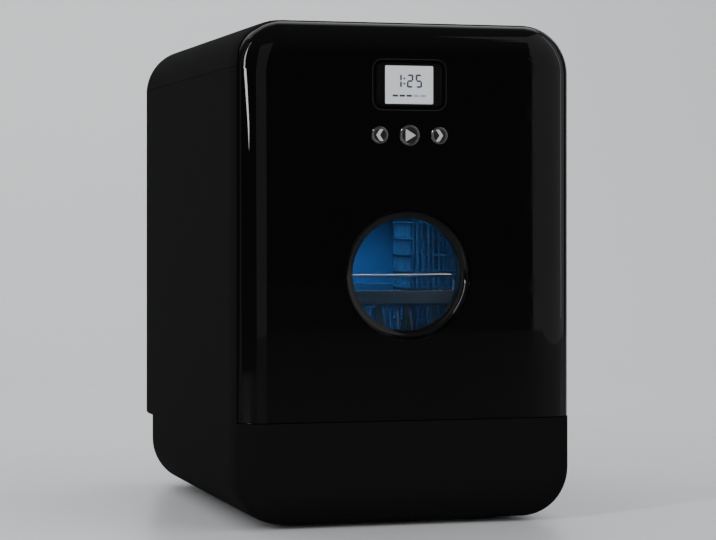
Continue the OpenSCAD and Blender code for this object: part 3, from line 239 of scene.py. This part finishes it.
def milky(name, color, shade_disc=None):
    """Milky moulded plastic, with an optional (z, radius) disc round a window's axis painted near
    black as shade.
    """
    tree = Tree(name)
    tree.set(subsurface=0.35, subsurface_radius=MILKY_RADIUS)
    tone = tree.blend(tree.noise(50 * MM, 3), shade(color, 0.93), color)
    # Painted shade: the liner is near black inside the disc round the window's axis, with a soft edge
    if shade_disc:
        z, radius = shade_disc
        reach = tree.nodes.new("ShaderNodeVectorMath")
        reach.operation = "LENGTH"
        tree.link(tree.mapped((1, 0, 1), (0, 0, -z)), reach.inputs[0])
        outside = tree.between(reach.outputs["Value"], 0.0, 1.0,
                               radius - PAINTED_SHADE_EDGE, radius + PAINTED_SHADE_EDGE)
        tone = tree.blend(outside, PAINTED_SHADE_COLOR, tone)
    tree.paint(tone)
    rough = 0.35
    tree.roughen(tree.between(tree.noise(12 * MM, 4), rough - 0.06, rough + 0.08))
    tree.bump(tree.noise(2.5 * MM, 2), 0.02 * MM)
    return tree.material


def lit(name, color, strength, grid=0.0):
    """A lit face; grid is the pitch of a display's dots, 0 for a plain diffuser."""
    tree = Tree(name)
    tree.set(color=shade(color, 0.3), roughness=0.4, strength=strength)
    fade = tree.between(tree.noise(30 * MM, 2), 0.0, 1.0, 0.2, 0.8)
    tone = tree.blend(fade, shade(color, 0.93), color)
    tree.link(tone, tree.shader.inputs["Emission Color"])
    if grid:
        tree.bump(tree.noise(grid, 0), 0.005 * MM)
    return tree.material


# ---- Stage and lamps, in metres ----

FLOOR_COLOR = (0.66, 0.67, 0.68)
FLOOR_NEAR = -9.0
BACK_FAR = 3.4
BACK_HIGH = 6.0
STAGE_WIDE = 12.0
BEND = 1.6
BEND_STEPS = 24


def add_stage():
    """A floor that bends up into a backdrop behind the object."""
    profile = [(FLOOR_NEAR, 0.0), (BACK_FAR - BEND, 0.0)]
    for i in range(1, BEND_STEPS + 1):
        a = math.radians(90 * i / BEND_STEPS)
        profile.append((BACK_FAR - BEND + BEND * math.sin(a), BEND - BEND * math.cos(a)))
    profile.append((BACK_FAR, BACK_HIGH))
    mesh = bpy.data.meshes.new("stage_floor")
    verts = [(x, y, z) for y, z in profile for x in (-STAGE_WIDE, STAGE_WIDE)]
    faces = [(2 * i, 2 * i + 1, 2 * i + 3, 2 * i + 2) for i in range(len(profile) - 1)]
    mesh.from_pydata(verts, [], faces)
    for polygon in mesh.polygons:
        polygon.use_smooth = True
    floor = bpy.data.objects.new("stage_floor", mesh)
    bpy.context.scene.collection.objects.link(floor)
    tree = Tree("stage_floor")
    tree.set(specular=0.4)
    tree.paint(tree.blend(tree.noise(0.8, 2), shade(FLOOR_COLOR, 0.985), FLOOR_COLOR))
    tree.roughen(tree.between(tree.noise(0.2, 3), 0.30, 0.36))
    mesh.materials.append(tree.material)


def area_light(name, place, aim, size, radiance, color=(1, 1, 1), roll=0.0, spread=180.0):
    """A rectangular lamp at place that faces aim, with its roll and spread in degrees.

    Where the lamp itself is seen or mirrored, radiance 1 shows as white.
    """
    data = bpy.data.lights.new(name, "AREA")
    data.shape = "RECTANGLE"
    data.size, data.size_y = size
    data.energy = math.pi * radiance * size[0] * size[1]
    data.color = color
    data.spread = math.radians(spread)
    light = bpy.data.objects.new(name, data)
    bpy.context.scene.collection.objects.link(light)
    facing = (Vector(aim) - Vector(place)).to_track_quat("-Z", "Y").to_matrix()
    turn = Matrix.Rotation(math.radians(roll), 3, "Z")
    light.matrix_world = Matrix.Translation(place) @ (facing @ turn).to_4x4()


ZENITH_LIGHT = (0.50, 0.505, 0.52)
HORIZON_LIGHT = (0.25, 0.25, 0.26)
# Heights on the unit sphere between which the horizon's light turns into the zenith's
SKY_RISE = (0.12, 0.75)


def add_world():
    """Even light from overhead that falls away towards the horizon."""
    world = bpy.data.worlds.new("studio")
    bpy.context.scene.world = world
    world.use_nodes = True
    nodes, links = world.node_tree.nodes, world.node_tree.links
    coords = nodes.new("ShaderNodeTexCoord")
    height = nodes.new("ShaderNodeSeparateXYZ")
    links.new(coords.outputs["Generated"], height.inputs[0])
    rise = nodes.new("ShaderNodeMapRange")
    rise.interpolation_type = "SMOOTHSTEP"
    rise.inputs["From Min"].default_value = SKY_RISE[0]
    rise.inputs["From Max"].default_value = SKY_RISE[1]
    links.new(height.outputs["Z"], rise.inputs["Value"])
    tone = nodes.new("ShaderNodeMix")
    tone.data_type = "RGBA"
    links.new(rise.outputs[0], tone.inputs[0])
    tone.inputs[6].default_value = (*HORIZON_LIGHT, 1)
    tone.inputs[7].default_value = (*ZENITH_LIGHT, 1)
    links.new(tone.outputs[2], nodes["Background"].inputs["Color"])


# The wall of light that the door's right part mirrors: its bearing from that part in degrees from
# straight ahead, its distance, how far it reaches behind that bearing, and its radiance
WALL_BEARING = 54.8
WALL_FAR = 3.33
WALL_BEHIND = 2.3
WALL_RADIANCE = 1.5
DOOR_RIGHT_PART = (0.13, -0.24, 0)
# Its rows, as the lower and upper edge and the bearing of the front edge in degrees
WALL_ROWS = (
    (-0.15, 0.95, 20.1), (0.95, 1.5, 21.3), (1.5, 2.2, 22.8),
    (2.2, 3.1, 24.6), (3.1, 4.2, 26.5), (4.2, 5.4, 28.5),
)


def add_right_wall():
    """A tall soft wall on the right; its front edge leans away from the door as it rises."""
    bearing = math.radians(WALL_BEARING)
    out = Vector((math.sin(bearing), -math.cos(bearing), 0))
    back = Vector((math.cos(bearing), math.sin(bearing), 0))
    for i, (low, high, edge) in enumerate(WALL_ROWS):
        before = WALL_FAR * math.tan(bearing - math.radians(edge))
        shift = back * (WALL_BEHIND - before) / 2
        aim = Vector(DOOR_RIGHT_PART) + shift + Vector((0, 0, (low + high) / 2))
        area_light("right_wall_%d" % (i + 1), aim + out * WALL_FAR, aim,
                   (before + WALL_BEHIND, high - low), WALL_RADIANCE)


# Each lamp's name, place, aim, size, radiance and roll; left_low and left_tall are mirrored as
# the streak near the door's left edge, and right_strip as a line along its right edge
LAMPS = (
    ("top_soft", (0.0, 1.75, 3.1), (0, 1.75, 0), (4.4, 2.8), 1.9, 0.0),
    ("right_strip", (2.50, -0.66, 1.6), (0.17, -0.24, 1.6), (0.10, 3.0), 4, 0.0),
    ("left_low", (-2.012, -1.757, 0.54), (-0.16, -0.23, 0.54), (0.055, 0.49), 90, 70.8),
    ("left_tall", (-2.161, -1.555, 1.71), (-0.16, -0.23, 1.71), (0.10, 2.18), 60, 0.0),
    ("left_edge", (-2.542, -0.522, 1.40), (-0.16, -0.23, 1.40), (0.45, 3.0), 0.8, 0.0),
    ("left_soft", (-1.11, -3.81, 1.6), (-0.15, -0.24, 1.6), (1.55, 3.2), 1.0, 0.0),
)


def add_lights():
    add_world()
    add_right_wall()
    for name, place, aim, size, radiance, roll in LAMPS:
        area_light(name, place, aim, size, radiance, roll=roll)


# The lamp below the chamber's lens: its distance below it, where it aims, as a step right and
# back and a height, and its looks
CHAMBER_LAMP_BELOW = 2 * MM
CHAMBER_AIM_STEP = (-0.07, 0.16)
CHAMBER_AIM_HEIGHT = 0.12
CHAMBER_LAMP = {"size": (0.05, 0.02), "radiance": 480, "color": (0.11, 0.42, 1.0), "spread": 85}
# The weak warm lamp between the window and the basket's front
BASKET_FILL = {
    "place": (0.05, -0.205, 0.315), "aim": (0.05, -0.18, 0.19), "size": (0.16, 0.012),
    "radiance": 14, "color": (1.0, 0.74, 0.56), "spread": 80,
}


def add_chamber_lights():
    low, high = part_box("lamp_lens")
    x, y = (low.x + high.x) / 2, (low.y + high.y) / 2
    aim = (x + CHAMBER_AIM_STEP[0], y + CHAMBER_AIM_STEP[1], CHAMBER_AIM_HEIGHT)
    area_light("chamber_lamp", (x, y, low.z - CHAMBER_LAMP_BELOW), aim, **CHAMBER_LAMP)
    area_light("basket_fill", **BASKET_FILL)


# ---- Pieces from the CAD ----

# Vertices nearer than this are one, and edges shorter than this go
WELD = 0.004 * MM
SLIVER = 0.002 * MM
# In degrees: faces that meet at less than FLAT_ANGLE are joined before a bevel, and edges sharper
# than HARD_ANGLE stay hard
FLAT_ANGLE = 0.6
HARD_ANGLE = 30.0
BEVEL_SEGMENTS = 2
# How strongly large faces pull the shading at their edges; 50 is even
NORMAL_WEIGHT = 60


def link_piece(name, mesh, body, material, replaced=()):
    piece = bpy.data.objects.new(name, mesh)
    bpy.context.scene.collection.objects.link(piece)
    mesh.materials.clear()
    mesh.materials.append(material)
    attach(piece, body)
    if replaced:
        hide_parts(*replaced)
    return piece


def body_of_node(node):
    for body, nodes in frame["record"]["behaviour"]["bodies"].items():
        if node in nodes:
            return body
    raise KeyError(node)


def smooth_faces(bm, hard_angle):
    """Smooth shading that stays hard at open edges and at edges sharper than hard_angle."""
    for face in bm.faces:
        face.smooth = True
    for edge in bm.edges:
        edge.smooth = edge.is_manifold and edge.calc_face_angle(0) <= math.radians(hard_angle)


def finished(node, material, bevel=0.0):
    """A node's form with its facets smoothed and, where bevel is set, its sharp edges rounded.

    It rides the node's body and takes its place.
    """
    mesh = frame["nodes"][node].data.copy()
    mesh.name = node + "_finish"
    bm = bmesh.new()
    bm.from_mesh(mesh)
    bmesh.ops.remove_doubles(bm, verts=bm.verts, dist=WELD)
    bmesh.ops.dissolve_degenerate(bm, edges=bm.edges, dist=SLIVER)
    if bevel:
        bmesh.ops.dissolve_limit(bm, angle_limit=math.radians(FLAT_ANGLE),
                                 verts=bm.verts, edges=bm.edges)
    bm.normal_update()
    smooth_faces(bm, HARD_ANGLE)
    bm.to_mesh(mesh)
    bm.free()
    piece = link_piece(node + "_finish", mesh, body_of_node(node), material,
                       [node])
    if bevel:
        rounding = piece.modifiers.new("rounding", "BEVEL")
        rounding.width = bevel
        rounding.segments = BEVEL_SEGMENTS
        rounding.limit_method = "ANGLE"
        rounding.angle_limit = math.radians(HARD_ANGLE)
        rounding.harden_normals = False
    weigh = piece.modifiers.new("normals", "WEIGHTED_NORMAL")
    weigh.keep_sharp = True
    weigh.weight = NORMAL_WEIGHT


def dress(node, material):
    """A better material on a node that keeps its own form."""
    mesh = frame["nodes"][node].data
    mesh.materials.clear()
    mesh.materials.append(material)


# ---- Pieces made here ----

def middle(node):
    """A node's lowest and highest corner and the x and z of its middle."""
    low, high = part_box(node)
    return low, high, (low.x + high.x) / 2, (low.z + high.z) / 2


def mesh_of(bm, name):
    """A mesh from bm, which is freed."""
    mesh = bpy.data.meshes.new(name)
    bm.to_mesh(mesh)
    bm.free()
    return mesh


def plate(name, outline, y_front, thick, body, material):
    """A thin plate in the XZ plane; outline is a list of loops of (x, z)."""
    bm = bmesh.new()
    for loop in outline:
        verts = [bm.verts.new((x, y_front, z)) for x, z in loop]
        bm.faces.new(verts)
    made = bmesh.ops.extrude_face_region(bm, geom=bm.faces[:])
    moved = [g for g in made["geom"] if isinstance(g, bmesh.types.BMVert)]
    bmesh.ops.translate(bm, vec=(0, thick, 0), verts=moved)
    bmesh.ops.recalc_face_normals(bm, faces=bm.faces)
    link_piece(name, mesh_of(bm, name), body, material)


def bridge(bm, a, b):
    """Faces between two closed rings of vertices."""
    for k in range(len(a)):
        n = (k + 1) % len(a)
        bm.faces.new((a[k], a[n], b[n], b[k]))


def softened(points, r):
    """An outline with each corner drawn round, starting r away from the corner."""
    steps = 4
    out = []
    for i, corner in enumerate(points):
        here = Vector(corner)
        before, after = Vector(points[i - 1]), Vector(points[(i + 1) % len(points)])
        a = here + (before - here).normalized() * min(r, (before - here).length / 2)
        b = here + (after - here).normalized() * min(r, (after - here).length / 2)
        for k in range(steps + 1):
            t = k / steps
            out.append(tuple(a * (1 - t) ** 2 + here * 2 * t * (1 - t) + b * t ** 2))
    return out


def rounded_loop(cx, cz, w, h, r, steps=6):
    """A rectangle of w by h round (cx, cz) with corners of radius r, as a loop of (x, z)."""
    out = []
    for sx, sz, a0 in ((1, -1, -90), (1, 1, 0), (-1, 1, 90), (-1, -1, 180)):
        for i in range(steps + 1):
            a = math.radians(a0 + 90 * i / steps)
            out.append((cx + sx * (w / 2 - r) + r * math.cos(a),
                        cz + sz * (h / 2 - r) + r * math.sin(a)))
    return out


# ---- Marks on the buttons ----

CHEVRON_W, CHEVRON_H, CHEVRON_ARM = 7.5 * MM, 11.4 * MM, 3.7 * MM
CHEVRON_SOFT = 0.9 * MM
TRIANGLE_LEFT, TRIANGLE_RIGHT, TRIANGLE_HALF = -4.1 * MM, 6.3 * MM, 6.2 * MM
TRIANGLE_SOFT = 1.2 * MM
# Each mark starts this far behind the front of its button and is this thick
MARK_IN = 0.22 * MM
MARK_THICK = 0.3 * MM
# Each button's node and body, and the way its mark points: -1 left, 1 right, 0 for play
BUTTONS = (("button_back", "back_button", -1), ("button_play", "play_button", 0),
           ("button_next", "next_button", 1))


def chevron(cx, cz, way):
    """A chevron that points along way, -1 left or 1 right."""
    tip, tail, top = CHEVRON_W / 2, -CHEVRON_W / 2, CHEVRON_H / 2
    points = [(tip, 0), (tail + CHEVRON_ARM, top), (tail, top), (tip - CHEVRON_ARM, 0),
              (tail, -top), (tail + CHEVRON_ARM, -top)]
    return softened([(cx + way * x, cz + z) for x, z in points], CHEVRON_SOFT)


def triangle(cx, cz):
    """A play triangle with rounded corners."""
    points = [(cx + TRIANGLE_LEFT, cz + TRIANGLE_HALF), (cx + TRIANGLE_LEFT, cz - TRIANGLE_HALF),
              (cx + TRIANGLE_RIGHT, cz)]
    return softened(points, TRIANGLE_SOFT)


def add_button_marks(material):
    for node, body, way in BUTTONS:
        low, _, cx, cz = middle(node)
        outline = chevron(cx, cz, way) if way else triangle(cx, cz)
        plate(node + "_mark", [outline], low.y + MARK_IN, MARK_THICK, body, material)


# ---- Display ----

SCREEN_W, SCREEN_H, SCREEN_R = 48.3 * MM, 36.7 * MM, 1.0 * MM
# The face starts this far ahead of the panel, and the ink this far ahead of the face
SCREEN_AHEAD, SCREEN_THICK = 0.08 * MM, 0.07 * MM
INK_AHEAD, INK_THICK = 0.04 * MM, 0.03 * MM

DIGIT_W, DIGIT_H, STROKE, DIGIT_PITCH = 6.6 * MM, 13.0 * MM, 1.8 * MM, 8.8 * MM
# The digits' lower left corner from the middle of the panel
DIGITS_LEFT, DIGITS_DOWN = -13.4 * MM, -2.8 * MM
# Each digit and the place of its left edge
DIGITS = (("1", -0.6 * MM), ("2", DIGIT_PITCH + 2.2 * MM), ("5", 2 * DIGIT_PITCH + 2.2 * MM))
# The colon's dots: their width and corners, and their place from the digits' lower left corner
DOT_SIZE, DOT_R, DOT_STEPS = 1.8 * MM, 0.3 * MM, 2
DOT_LEFT = DIGIT_PITCH - 0.3 * MM
DOT_UPS = (3.9 * MM, 8.9 * MM)
# The seven bars' letters by digit, from a at the top clockwise, with g in the middle
SEGMENTS = {"1": "bc", "2": "abged", "5": "afgcd"}
# Parts of a stroke's width: the gap between bars, and how far level bars stop short
SEGMENT_GAP, SEGMENT_SHORT = 0.12, 0.35

# The row of bars: how many there are, how many are inked, and their place below the middle
BAR_COUNT, BARS_DONE = 5, 3
BAR_W, BAR_H, BAR_PITCH = 5.6 * MM, 2.0 * MM, 7 * MM
BAR_R, BAR_STEPS = 0.7 * MM, 3
BARS_DOWN = 10.5 * MM

RIM_WIDE, RIM_R = 0.7 * MM, 10 * MM
# The rim stands out from the lens and reaches back beside it
RIM_AHEAD, RIM_BACK = 0.05 * MM, 0.15 * MM


def segment(box, level):
    """The outline of one bar of a digit, pointed at both ends."""
    x0, z0, x1, z1 = box
    gap, point = STROKE * SEGMENT_GAP, STROKE / 2
    if level:
        short = STROKE * SEGMENT_SHORT
        left, right, z = x0 - STROKE + gap + short, x1 + STROKE - gap - short, (z0 + z1) / 2
        return [(left, z), (left + point, z1), (right - point, z1), (right, z),
                (right - point, z0), (left + point, z0)]
    low, high, x = z0 + gap, z1 - gap, (x0 + x1) / 2
    return [(x, low), (x1, low + point), (x1, high - point), (x, high),
            (x0, high - point), (x0, low + point)]


def digit(char, x, z):
    """Loops of a seven-segment digit with its lower left corner at (x, z)."""
    w, h, t, half = DIGIT_W, DIGIT_H, STROKE, DIGIT_H / 2
    bars = {
        "a": (t, h - t, w - t, h), "g": (t, half - t / 2, w - t, half + t / 2), "d": (t, 0, w - t, t),
        "f": (0, half, t, h), "b": (w - t, half, w, h), "e": (0, 0, t, half), "c": (w - t, 0, w, half),
    }
    return [[(x + a, z + b) for a, b in segment(bars[key], key in "agd")] for key in SEGMENTS[char]]


def add_screen(face, ink, faint):
    """The display's lit face, the digits of a time on it and a row of bars below them."""
    low, _, cx, cz = middle("display_panel")
    y = low.y - SCREEN_AHEAD
    plate("screen_face", [rounded_loop(cx, cz, SCREEN_W, SCREEN_H, SCREEN_R)], y, SCREEN_THICK,
          "door", face)
    x0, z0 = cx + DIGITS_LEFT, cz + DIGITS_DOWN
    digits = [loop for char, left in DIGITS for loop in digit(char, x0 + left, z0)]
    digits += [rounded_loop(x0 + DOT_LEFT, z0 + up, DOT_SIZE, DOT_SIZE, DOT_R, DOT_STEPS)
               for up in DOT_UPS]
    bars = [rounded_loop(cx + (k - BAR_COUNT // 2) * BAR_PITCH, cz - BARS_DOWN,
                         BAR_W, BAR_H, BAR_R, BAR_STEPS) for k in range(BAR_COUNT)]
    for name, loops, material, slot in (
            ("screen_digits", digits, ink, "display_lens"),
            ("screen_bars_done", bars[:BARS_DONE], ink, "display_lens"),
            ("screen_bars_left", bars[BARS_DONE:], faint, "display_lit")):
        plate(name, loops, y - INK_AHEAD, INK_THICK, "door", material)


def add_lens_rim(material):
    """The thin polished border round the display's window."""
    low, high, cx, cz = middle("display_lens")
    w, h = high.x - low.x, high.z - low.z
    front, back = low.y - RIM_AHEAD, low.y + RIM_BACK
    outer = rounded_loop(cx, cz, w, h, RIM_R)
    inner = rounded_loop(cx, cz, w - 2 * RIM_WIDE, h - 2 * RIM_WIDE, RIM_R - RIM_WIDE)
    bm = bmesh.new()
    rings = [[bm.verts.new((x, y, z)) for x, z in loop]
             for loop, y in ((outer, back), (outer, front), (inner, front), (inner, back))]
    for a, b in zip(rings, rings[1:] + rings[:1]):
        bridge(bm, a, b)
    bmesh.ops.recalc_face_normals(bm, faces=bm.faces)
    link_piece("display_lens_rim", mesh_of(bm, "display_lens_rim"), "door", material)


# ---- Water inlet's thread ----

INLET_OUTER, INLET_ROOT, INLET_BORE = 13.2 * MM, 12.2 * MM, 9.7 * MM
# Along the axis: the bore's floor, and the back and the thickness of the flange
INLET_FLOOR, FLANGE_END, FLANGE_THICK = 2 * MM, 5.5 * MM, 2.5 * MM
THREAD_PITCH = 1.8 * MM
# Clear of the flange and of the open end
THREAD_START, THREAD_STOP = 0.2 * MM, 0.6 * MM
# The ridge takes 2 / RIDGE_SLOPE of the pitch
RIDGE_SLOPE = 3.2
# Steps along the thread and vertices round it
THREAD_ROWS, THREAD_AROUND = 110, 64
THREAD_HARD_ANGLE = 40.0


def add_thread(material):
    """The inlet as turned, with a helical ridge inside its plain outside radius."""
    low, high, cx, cz = middle("water_inlet")
    start, stop, flange_r = low.y, high.y, (high.x - low.x) / 2
    first, last = start + FLANGE_END + THREAD_START, stop - THREAD_STOP
    bm = bmesh.new()

    def ring(radius, y):
        """A ring of vertices at y; radius is a number, or a function of the angle."""
        out = []
        for k in range(THREAD_AROUND):
            a = 2 * math.pi * k / THREAD_AROUND
            r = radius(a) if callable(radius) else radius
            out.append(bm.verts.new((cx + r * math.cos(a), y, cz + r * math.sin(a))))
        return out

    def ridge(y):
        def radius(a):
            phase = ((y - first) / THREAD_PITCH + a / (2 * math.pi)) % 1.0
            rise = max(0.0, 1 - abs(phase - 0.5) * RIDGE_SLOPE)
            return INLET_ROOT + (INLET_OUTER - INLET_ROOT) * rise
        return radius

    rows = [first + (last - first) * i / THREAD_ROWS for i in range(THREAD_ROWS + 1)]
    flange_end, flange_start = start + FLANGE_END, start + FLANGE_END - FLANGE_THICK
    rings = [ring(INLET_BORE, start + INLET_FLOOR), ring(INLET_BORE, stop), ring(INLET_ROOT, stop)]
    rings += [ring(ridge(y), y) for y in reversed(rows)]
    rings += [ring(INLET_ROOT, flange_end), ring(flange_r, flange_end), ring(flange_r, flange_start),
              ring(INLET_OUTER, flange_start), ring(INLET_OUTER, start)]
    for a, b in zip(rings, rings[1:]):
        bridge(bm, a, b)
    bm.faces.new(rings[0])
    bm.faces.new(list(reversed(rings[-1])))
    bmesh.ops.recalc_face_normals(bm, faces=bm.faces)
    smooth_faces(bm, THREAD_HARD_ANGLE)
    link_piece("water_inlet_thread", mesh_of(bm, "water_inlet_thread"), "casing", material,
               ["water_inlet"])


# ---- Materials ----

# The painted shade round the window reaches this far past the inner glass
PAINTED_SHADE_PAST = 1.0 * MM
LINER_COLOR = (0.30, 0.33, 0.36)


def make_materials():
    """Every material by a short name."""
    # The disc round the window where the liner is painted near black as shade
    low, high, _, glass_z = middle("inner_glass")
    painted_shade_disc = (glass_z, (high.x - low.x) / 2 + PAINTED_SHADE_PAST)
    return {
        "casing": moulded("casing_black", (0.0064, 0.0064, 0.0067), 0.60, spread=0.03,
                          specular=0.003, handled=0.008),
        "lid": moulded("lid_black", (0.0066, 0.0066, 0.0070), 0.55, spread=0.03,
                       specular=0.01, handled=0.01),
        "rear": moulded("rear_grey", (0.014, 0.014, 0.015), 0.55, spread=0.05,
                        specular=0.15, handled=0.02),
        "door": gloss("door_gloss", (0.0008, 0.0008, 0.0009), 0.012, specular=0.1),
        "bezel": gloss("bezel_gloss", (0.0010, 0.0010, 0.0011), 0.012, specular=0.15, wave=0.0),
        "button": gloss("button_gloss", (0.0020, 0.0020, 0.0022), 0.04, specular=0.8),
        "shadow": moulded("display_black", (0.0012, 0.0012, 0.0013), 0.6, specular=0.02),
        "inner": moulded("inner_black", (0.030, 0.030, 0.032), 0.55),
        "dark": moulded("works_grey", (0.085, 0.087, 0.092), 0.5),
        "pump": moulded("pump_grey", (0.12, 0.12, 0.125), 0.45),
        "pale": moulded("valve_white", (0.62, 0.63, 0.64), 0.42, spread=0.05),
        "pipe": moulded("pipe_grey", (0.38, 0.39, 0.40), 0.4, spread=0.06),
        "liner": milky("liner_grey", LINER_COLOR),
        # The liner with its disc painted near black as shade round the window
        "shaded_liner": milky("liner_painted_shade", LINER_COLOR, shade_disc=painted_shade_disc),
        "tub": milky("tub_blue_grey", (0.22, 0.28, 0.34)),
        "coat": moulded("basket_coat", (0.115, 0.114, 0.115), 0.42, grain=0.5 * MM, spread=0.06),
        "cutlery": moulded("cutlery_coat", (0.12, 0.125, 0.13), 0.4, spread=0.06),
        "chrome": metal("chrome_wire", (0.50, 0.51, 0.53), 0.22),
        "steel": metal("steel_bright", (0.62, 0.63, 0.65), 0.3, (1, 40, 1)),
        "zinc": metal("steel_zinc", (0.52, 0.53, 0.56), 0.4, (1, 1, 1), 2 * MM),
        "magnet": metal("magnet", (0.35, 0.35, 0.36), 0.35, (1, 1, 8)),
        "copper": metal("heater_metal", (0.58, 0.46, 0.30), 0.35, (1, 30, 1)),
        "rubber": rubber("rubber_black", (0.016, 0.016, 0.016)),
        "gasket": rubber("gasket_grey", (0.10, 0.10, 0.11), 0.6),
        "hose": rubber("hose_black", (0.022, 0.022, 0.024), 0.6),
        "bush": moulded("bush_white", (0.75, 0.75, 0.72), 0.35, spread=0.04),
        "board": moulded("board_green", (0.02, 0.12, 0.05), 0.3, spread=0.2),
        "board_dark": moulded("board_dark", (0.004, 0.010, 0.006), 0.4, spread=0.2, specular=0.2),
        "tank": milky("tank_milky", (0.68, 0.73, 0.76)),
        "window": clear("window_glass", (0.60, 0.70, 0.78), 1.16),
        "lens": clear("display_lens", (0.93, 0.94, 0.95), 1.18),
        "lamp": lit("lamp_lens", (0.25, 0.62, 1.0), 3.0),
        "screen": lit("screen_face", (0.565, 0.575, 0.59), 1.0, 0.4 * MM),
        "ink": moulded("screen_ink", (0.010, 0.020, 0.055), 0.5),
        "faint": lit("screen_faint", (0.26, 0.28, 0.31), 1.0),
        "mark": lit("button_mark", (0.45, 0.45, 0.45), 0.68),
        "rim": gloss("lens_rim", (0.006, 0.006, 0.0065), 0.08, specular=0.8),
    }


# Nodes whose own form is smoothed, with their material
SMOOTHED = {
    "housing": "casing", "top_cover": "casing", "door_skin": "door", "window_bezel": "bezel",
    # door_liner takes the liner that is painted near black as shade round the window
    "door_liner": "shaded_liner", "tub": "tub", "front_frame": "inner", "sump": "dark",
    "water_tank": "tank", "fill_funnel": "dark", "suction_hose": "hose", "wash_pipe": "pipe",
    "drain_hose": "hose", "tank_hose": "hose", "lower_hinge_pin": "zinc",
    "basket_handle": "chrome", "feet": "rubber", "outer_glass": "window", "inner_glass": "window",
    "hinge_bushes": "bush", "heater": "copper", "inlet_valve": "pale",
}

# Nodes whose edges are rounded too, with their material and the rounding in millimetres
ROUNDED = {
    "fill_lid": ("lid", 0.5), "rear_cover": ("rear", 0.35), "base_plate": ("inner", 0.3),
    "door_gasket": ("gasket", 1.0), "upper_hinge_bracket": ("zinc", 0.3), "runners": ("liner", 0.6),
    "basket": ("coat", 0.45), "basket_slats": ("coat", 0.4), "basket_grid": ("coat", 0.4),
    "plate_tines": ("coat", 0.4), "cutlery_basket": ("cutlery", 0.3), "spray_arm": ("dark", 1.0),
    "spray_hub": ("dark", 0.6), "filter_cup": ("dark", 0.5), "filter_plate": ("steel", 0.25),
    "button_back": ("button", 0.3), "button_play": ("button", 0.3), "button_next": ("button", 0.3),
    "detergent_lid": ("dark", 0.4), "detergent_cup": ("liner", 0.5), "wash_pump": ("pump", 0.8),
    "drain_pump": ("pump", 0.8), "chassis_deck": ("inner", 0.5), "power_inlet": ("inner", 0.3),
    "drain_spigot": ("dark", 0.4), "lamp_housing": ("inner", 0.5),
    "rear_cover_screws": ("zinc", 0.15), "base_screws": ("zinc", 0.2), "hinge_screws": ("zinc", 0.2),
    "door_magnets": ("magnet", 0.3), "strike_plates": ("steel", 0.3), "display_lens": ("lens", 0.6),
}

# Nodes that keep their own mesh, with their material
DRESSED = {
    "lamp_lens": "lamp", "window_seal": "rubber", "display_panel": "shadow",
    "control_board": "board_dark", "power_board": "board",
}


# ---- Build ----

def main():
    add_camera()
    add_stage()
    add_lights()
    materials = make_materials()
    for node, key in SMOOTHED.items():
        finished(node, materials[key])
    for node, (key, bevel) in ROUNDED.items():
        finished(node, materials[key], bevel * MM)
    for node, key in DRESSED.items():
        dress(node, materials[key])
    add_thread(materials["pale"])
    add_button_marks(materials["mark"])
    add_screen(materials["screen"], materials["ink"], materials["faint"])
    add_lens_rim(materials["rim"])
    add_chamber_lights()


main()
